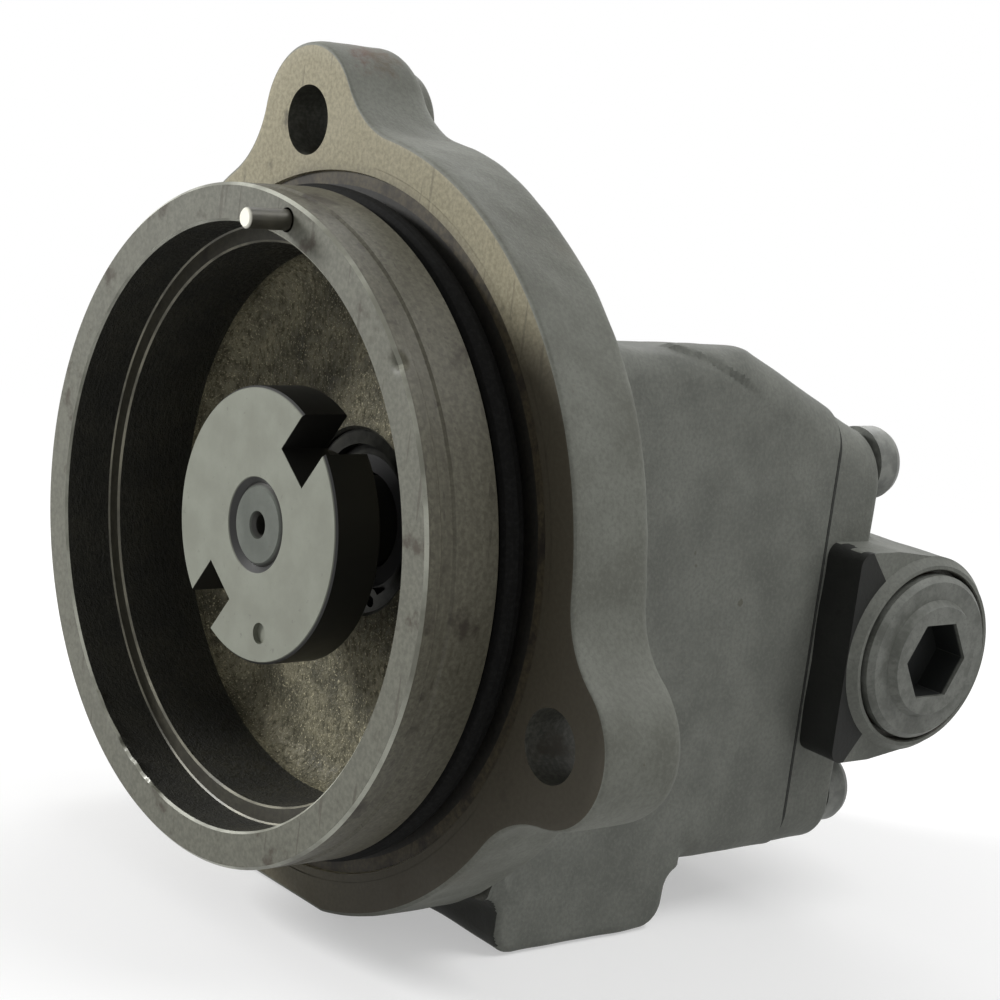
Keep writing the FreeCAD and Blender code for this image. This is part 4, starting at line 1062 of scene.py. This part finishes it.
@dataclass
class GearCaseSkin:
    """Outside of the gear case, its inlet pad and outlet boss, blended as one casting."""

    half_w: float = 34.0
    bottom: float = -49.7
    top_near: float = 33.9
    top_far: float = 22.5
    edge: float = 7.0
    front_y: float = 14.2
    rear_y: float = 74.3
    seam: Sequence[Tuple[float, float]] = (
        (26.0, 33.5), (29.6, 33.3), (39.3, 32.8), (43.6, 31.7), (50.5, 28.7), (56.0, 25.6))
    seam_rise: float = 0.36
    seam_furrow: float = 0.22
    root: float = 4.5
    flange_reach: float = 56.6
    pad_x0: float = -4.0
    pad_y: Tuple[float, float] = (16.0, 50.4)
    pad_bottom: float = -59.1
    pad_edge: float = 4.0
    pad_foot: float = 4.2
    pad_top: float = -30.0
    foot_z: float = -46.0
    boss: Tuple[float, float, float, float] = (49.15, -13.0, 15.0, -37.0)
    inlet: Tuple[float, float, float, float] = (17.0, 33.2, 10.2, 14.5)
    outlet: Tuple[float, float] = (8.2, 17.0)
    thread: Tuple[float, float] = (0.7, 1.5)
    weep: Tuple[float, float, float, float] = (-48.0, 17.4, 1.5, 26.0)
    inner_share: float = 0.66
    middle_y: float = 40.0
    middle_z: float = -8.0
    end_draw: float = 0.008
    front_lap: float = 0.6
    drill_over: float = 1.5
    columns: int = 560

    def case_field(self, p: np.ndarray) -> np.ndarray:
        """Distance field of case, pad and boss behind the flange.

        The case is the common part of its floor, far side, tilted top and falling slope, all
        edges rounded. The pad and the boss join it with small hollows, the shared near side cuts
        both, and the flange's rear face joins with a larger hollow.

        Args:
            p: points (..., 3) in millimetres.

        Returns:
            Values below 0 inside.
        """
        x, y, z = p[..., 0], p[..., 1], p[..., 2]
        tilt = (self.top_near - self.top_far) / (2 * self.half_w)
        top = (z - self.top_far - (x + self.half_w) * tilt) / math.hypot(1.0, tilt)
        fall = slope_field(y, z)
        roof = round_meet(top, fall, 0.8)
        body = round_meet(round_meet(self.bottom - z, -self.half_w - x, self.edge), roof, self.edge)
        pad = round_meet(self.pad_x0 - x, np.maximum(self.pad_y[0] - y, y - self.pad_y[1]), self.pad_edge)
        pad = round_meet(np.maximum(pad, z - self.pad_top), self.pad_bottom - z, self.pad_foot)
        body = round_union(body, pad, 3.0)
        boss_y, boss_z, boss_r, boss_x = self.boss
        boss = round_meet(np.hypot(y - boss_y, z - boss_z) - boss_r, boss_x - x, 1.2)
        body = round_union(body, np.maximum(boss, x + 20.0), 2.5)
        pad_half = (self.pad_y[1] - self.pad_y[0]) / 2
        off_pad = np.abs(y - self.pad_y[0] - pad_half) - pad_half
        at_pad = ramp(3.2 - off_pad, 1.5) * ramp(self.foot_z - z, 3.0)
        body = round_meet(body, x - self.half_w, self.edge * 0.82 - 4.4 * at_pad)
        body = body - self.seam_step(p)
        uneven = 0.17 * waves(p, 26.0, 11) + 0.07 * waves(p, 8.0, 12)
        behind = ramp(self.rear_y - 0.5 - y, 3.0)
        body = body + uneven * behind
        flange = np.maximum(y - self.front_y + 0.05, np.hypot(x, z) - self.flange_reach)
        return round_union(body, flange, self.root)

    def seam_step(self, p: np.ndarray) -> np.ndarray:
        """Height of the mould's parting seam: metal above it stands out, a thin line lies below.

        The step rises over half a millimetre across the seam and fades out at both its ends and
        away from the near side; the line is a narrow bell-shaped furrow.
        """
        x, y, z = p[..., 0], p[..., 1], p[..., 2]
        line_y, line_z = np.array(self.seam).T
        off = z - np.interp(y, line_y, line_z)
        there = ramp(y - line_y[0], 9) * ramp(line_y[-1] - y, 5) * ramp(x - 22, 4)
        furrow = self.seam_furrow * np.exp(-((off + 0.35) / 0.4) ** 2)
        step = self.seam_rise * ramp(off, 0.5) * ramp(8.0 - off, 6.0)
        return there * (step - furrow)

    def turns(self) -> np.ndarray:
        """Ray angles, spread so that their ends lie evenly along a middle section."""
        coarse = np.linspace(0, 2 * np.pi, 4000, endpoint=False)
        section = self.ring(coarse, np.array([self.middle_y]))[0]
        step = np.linalg.norm(np.roll(section, -1, axis=0) - section, axis=1)
        run = np.concatenate([[0.0], np.cumsum(step)])
        even = np.linspace(0, run[-1], self.columns, endpoint=False)
        return np.interp(even, run[:-1], coarse)

    def ring(self, turns: np.ndarray, stations: np.ndarray) -> np.ndarray:
        """Casts rays from the case's middle line at each station and angle."""
        return skin(*rays_about_y(stations, turns, self.middle_z), 5.0, 90.0, self.case_field)

    def build(self) -> bpy.types.Object:
        """Makes the skin as a closed ring with an inner wall and drills the two ports."""
        turns = self.turns()
        front = self.front_y + self.root * (1 - np.cos(np.linspace(0.02, np.pi / 2, 12)))
        front = np.unique(np.concatenate([front, np.arange(15.5, 19.0, 0.25)]))
        middle = np.concatenate([np.arange(front[-1] + 0.4, 48.0, 0.8), np.arange(48.0, 53.5, 0.35),
                                 np.arange(53.5, self.rear_y - 0.6, 0.8)])
        stations = np.unique(np.concatenate([front, middle, [self.rear_y - 0.45, self.rear_y - 0.12]]))
        outer = self.ring(turns, stations)
        centre = np.array([0.0, 0.0, self.middle_z])
        last = outer[-1] + (centre - outer[-1]) * np.array([self.end_draw, 0.0, self.end_draw])
        last[:, 1] = self.rear_y
        inner_rear, inner_front = last.copy(), outer[0].copy()
        inner_rear[:, [0, 2]] = centre[[0, 2]] + (last[:, [0, 2]] - centre[[0, 2]]) * self.inner_share
        inner_front[:, [0, 2]] = inner_rear[:, [0, 2]]
        inner_front[:, 1] = self.front_y - self.front_lap
        first = outer[0].copy()
        first[:, 1] = self.front_y - self.front_lap
        rows = np.concatenate([outer, [last, inner_rear, inner_front, first]])
        numbers = np.full(rows.shape[:2], Finish.CASTING.number)
        numbers[-4:-1] = Finish.SEAT.number
        # The pad's front face behind the flange is painted dark as shade.
        foot = (rows[..., 1] < self.pad_y[0] + 1.2) & (rows[..., 0] < self.half_w - 0.7)
        numbers[foot & (rows[..., 2] < self.foot_z)] = Finish.OILY_FOOT.number
        piece = grid_object("gear_case_skin", rows, bands=numbers, inward=True)
        paint(piece, numbers)
        x, y, r, depth = self.inlet
        over = self.drill_over
        inlet = rod("inlet_drill", (x, y, self.pad_bottom - over), "Z", r, depth + over, 96, self.thread)
        boss_y, boss_z, _, boss_x = self.boss
        r, depth = self.outlet
        outlet = rod("outlet_drill", (boss_x - over, boss_y, boss_z), "X", r, depth + over, 96, self.thread)
        x, y, r, depth = self.weep
        weep = rod("weep_drill", (x, y, 0.0), "X", r, depth, 32)
        drill(piece, [inlet, outlet, weep])
        return stand_for(piece, "cast_iron", "pump_body")


@dataclass
class RearCover:
    """Cover plate with the cross-lying valve housing cast on it."""

    half_w: float = 34.0
    bottom: float = -49.9
    top: float = 23.9
    front_y: float = 74.8
    rear_y: float = 85.3
    corner: float = 7.4
    edge: float = 1.6
    middle_z: float = -13.0
    valve: Tuple[float, float] = (91.5, -14.8)
    valve_r: float = 16.3
    valve_front_y: float = 75.2
    valve_half_z: float = 17.3
    flare_y: float = 83.8
    valve_x: Tuple[float, float] = (-28.0, 43.0)
    rim_x: float = 41.5
    bevel: float = 1.1
    spot: Tuple[float, float] = (14.3, 40.5)
    bore_r: float = 12.0
    bore_end: float = 24.0
    clearance: Tuple[float, float, float] = (-24.0, 54.0, 0.3)
    fillet: float = 3.0
    # Up to this y, plus a ragged edge, the housing's front beyond the case side is painted black as shade.
    shade_y: float = 77.6

    def plate_field(self, p: np.ndarray) -> np.ndarray:
        """Distance field of the plate: rounded outline, sloped top and softened rear edge."""
        x, y, z = p[..., 0], p[..., 1], p[..., 2]
        fall = slope_field(y, z)
        roof = round_meet(z - self.top, fall, 1.0)
        outline = round_meet(self.bottom - z, np.abs(x) - self.half_w, self.corner)
        outline = round_meet(outline, roof, self.corner)
        outline = outline + 0.14 * waves(p, 18.0, 21) * ramp(y - self.front_y, 2.0)
        return round_meet(outline, y - self.rear_y, self.edge)

    def build_plate(self) -> bpy.types.Object:
        """Makes the plate from rays about its middle line, closed at both faces."""
        a = np.linspace(0, 2 * np.pi, 420, endpoint=False)
        rim = self.rear_y - self.edge * (1 - np.sin(np.linspace(0, np.pi / 2, 7)[:-1]))
        stations = np.concatenate([np.linspace(self.front_y, rim[0], 12)[:-1], rim, [self.rear_y - 0.02]])
        side = skin(*rays_about_y(stations, a, self.middle_z), 5.0, 60.0, self.plate_field)
        middle = np.array([0.0, 0.0, self.middle_z])
        shares = np.linspace(0.97, 0.0, 14)
        rear = [middle + (side[-1] - middle) * np.array([s, 1.0, s]) for s in shares]
        front = [middle + (side[0] - middle) * np.array([s, 1.0, s]) for s in (0.0, 0.5)]
        rows = np.concatenate([front, side, rear])
        rows[-len(shares):, :, 1] = self.rear_y
        numbers = np.full(len(rows), Finish.CASTING.number)
        piece = grid_object("cover_plate", rows, closed=False, bands=numbers, inward=True, poles=True)
        paint(piece, numbers)
        axis_y, axis_z = self.valve
        x, length, gap = self.clearance
        drill(piece, [rod("valve_clearance", (x, axis_y, axis_z), "X", self.bore_r + gap, length)])
        return stand_for(piece, "cast_iron", "rear_cover")

    def valve_field(self, p: np.ndarray) -> np.ndarray:
        """Distance field of the valve housing across the cover.

        A round barrel joins a block that widens towards the cover; the plate's rear face joins
        them with a hollow, and both ends are softened.
        """
        x, y, z = p[..., 0], p[..., 1], p[..., 2]
        axis_y, axis_z = self.valve
        barrel = np.hypot(y - axis_y, z - axis_z) - self.valve_r
        share = np.clip((y - self.flare_y) / (axis_y - self.flare_y), 0, 1)
        half = self.valve_half_z + (self.valve_r - self.valve_half_z) * share
        block = round_meet(np.abs(z - axis_z) - half, self.valve_front_y - y, 2.2)
        body = np.minimum(barrel, np.maximum(block, y - axis_y))
        near = np.abs(z - axis_z) - half - self.fillet
        plate = np.maximum(np.maximum(y - self.rear_y + 0.05, near), np.abs(x + 1.0) - self.half_w + 2.0)
        body = round_union(body, plate, self.fillet)
        body = np.maximum(body, self.valve_front_y - y)
        body = body + 0.15 * waves(p, 14.0, 31) * ramp(self.rim_x - x, 3.0)
        body = round_meet(body, self.valve_x[0] - x, 3.0)
        bevel = barrel + 0.1 + np.maximum(x - self.rim_x, 0) * 0.73
        return np.where(x > self.rim_x, bevel, body)

    def build_valve(self) -> bpy.types.Object:
        """Makes the housing from rays about the valve's axis, then its rim, spot face and bore."""
        a = np.linspace(0, 2 * np.pi, 400, endpoint=False)
        x0, x1 = self.valve_x
        soft = x0 + 3.0 * (1 - np.cos(np.linspace(0.1, np.pi / 2, 7)))
        stations = np.concatenate([soft, np.arange(x0 + 3.8, self.rim_x - 0.1, 0.8),
                                   [self.rim_x - 0.05, self.rim_x + 0.01, (self.rim_x + x1) / 2, x1]])
        x, turn = np.meshgrid(stations, a, indexing="ij")
        axis_y, axis_z = self.valve
        origin = np.stack([x, np.full_like(x, axis_y), np.full_like(x, axis_z)], axis=-1)
        direction = np.stack([np.zeros_like(turn), np.cos(turn), np.sin(turn)], axis=-1)
        side = skin(origin, direction, 2.0, 60.0, self.valve_field)
        centre = np.array([0.0, axis_y, axis_z])
        end = [centre + (side[0] - centre) * np.array([0.0, s, s]) + np.array([x0, 0, 0])
               for s in (0.0, 0.4, 0.8)]

        def circle(at_x: float, radius: float) -> np.ndarray:
            """One ring about the valve's axis."""
            ring = np.empty((len(a), 3))
            ring[:, 0] = at_x
            ring[:, 1], ring[:, 2] = axis_y + radius * np.cos(a), axis_z + radius * np.sin(a)
            return ring

        spot_r, spot_x = self.spot
        inner = [circle(x1, spot_r + 0.2), circle(x1 - 0.2, spot_r), circle(spot_x, spot_r),
                 circle(spot_x, self.bore_r), circle(self.bore_end, self.bore_r),
                 circle(self.bore_end, 0.0)]
        rows = np.concatenate([end, side, inner])
        numbers = np.full(rows.shape[:2], Finish.CASTING.number)
        # The housing's front beyond the case side is painted black as shade, with a ragged edge.
        jag = np.clip(1.1 * waves(rows, 5.0, 41) + 0.8 * waves(rows, 1.8, 42), -1.7, 1.7)
        shaded_front = (rows[..., 1] < self.shade_y + jag) & (rows[..., 0] > self.half_w - 1.0)
        numbers[shaded_front & (rows[..., 0] < self.rim_x)] = Finish.OILY.number
        numbers[len(end) + len(side):] = Finish.SEAT.number
        piece = grid_object("valve_housing", rows, closed=False, bands=numbers, poles=True)
        paint(piece, numbers)
        return stand_for(piece, "cast_iron", "rear_cover")


@dataclass
class CadPieces:
    """Machined and bought pieces whose CAD shape is kept and only gets its finish."""

    finishes: Dict[Finish, Sequence[str]] = field(default_factory=lambda: {
        Finish.PIN: ["rim_dowel_pin"],
        Finish.COUPLER: ["drive_coupler"],
        Finish.SHAFT: ["drive_shaft"],
        Finish.SEAL_CASE: ["outer_seal_case", "inner_seal_case"],
        Finish.RETAINER: ["seal_retaining_ring"],
        Finish.O_RING: ["pilot_o_ring"],
        Finish.RUBBER: ["outer_seal_lip", "inner_seal_lip", "block_seals"],
        Finish.GASKET: ["cover_gasket"],
        Finish.SCREW: ["cover_bolts"],
        Finish.PLUG: ["relief_plug"],
        Finish.COPPER: ["plug_washer"],
        Finish.GROUND: ["drive_gear", "idler_gear", "idler_shaft", "drive_gear_key", "cover_dowels",
                        "relief_piston"],
        Finish.WIRE: ["relief_spring", "outer_seal_spring", "inner_seal_spring"],
        Finish.ALUMINIUM: ["front_bearing_block", "rear_bearing_block"],
        Finish.BRONZE: ["front_drive_bush", "front_idler_bush", "rear_drive_bush", "rear_idler_bush"]})

    def dress(self) -> None:
        """Gives each CAD piece its finish and reports it."""
        for finish, nodes in self.finishes.items():
            for node in nodes:
                dress(node, finish)
            log.info("%s: %s", finish.value.name, ", ".join(nodes))


def main() -> None:
    """Builds the studio and every sub-assembly in order and reports each piece."""
    logging.basicConfig(level=logging.INFO, format="%(name)s %(message)s")
    scene = bpy.context.scene
    scene.view_settings.view_transform = "Standard"
    PhotoCamera().build()
    Studio().build()
    front = BellAndFlange()
    front.build()
    front.build_boss()
    GearCaseSkin().build()
    cover = RearCover()
    cover.build_plate()
    cover.build_valve()
    CadPieces().dress()


if __name__ == "__main__":
    main()
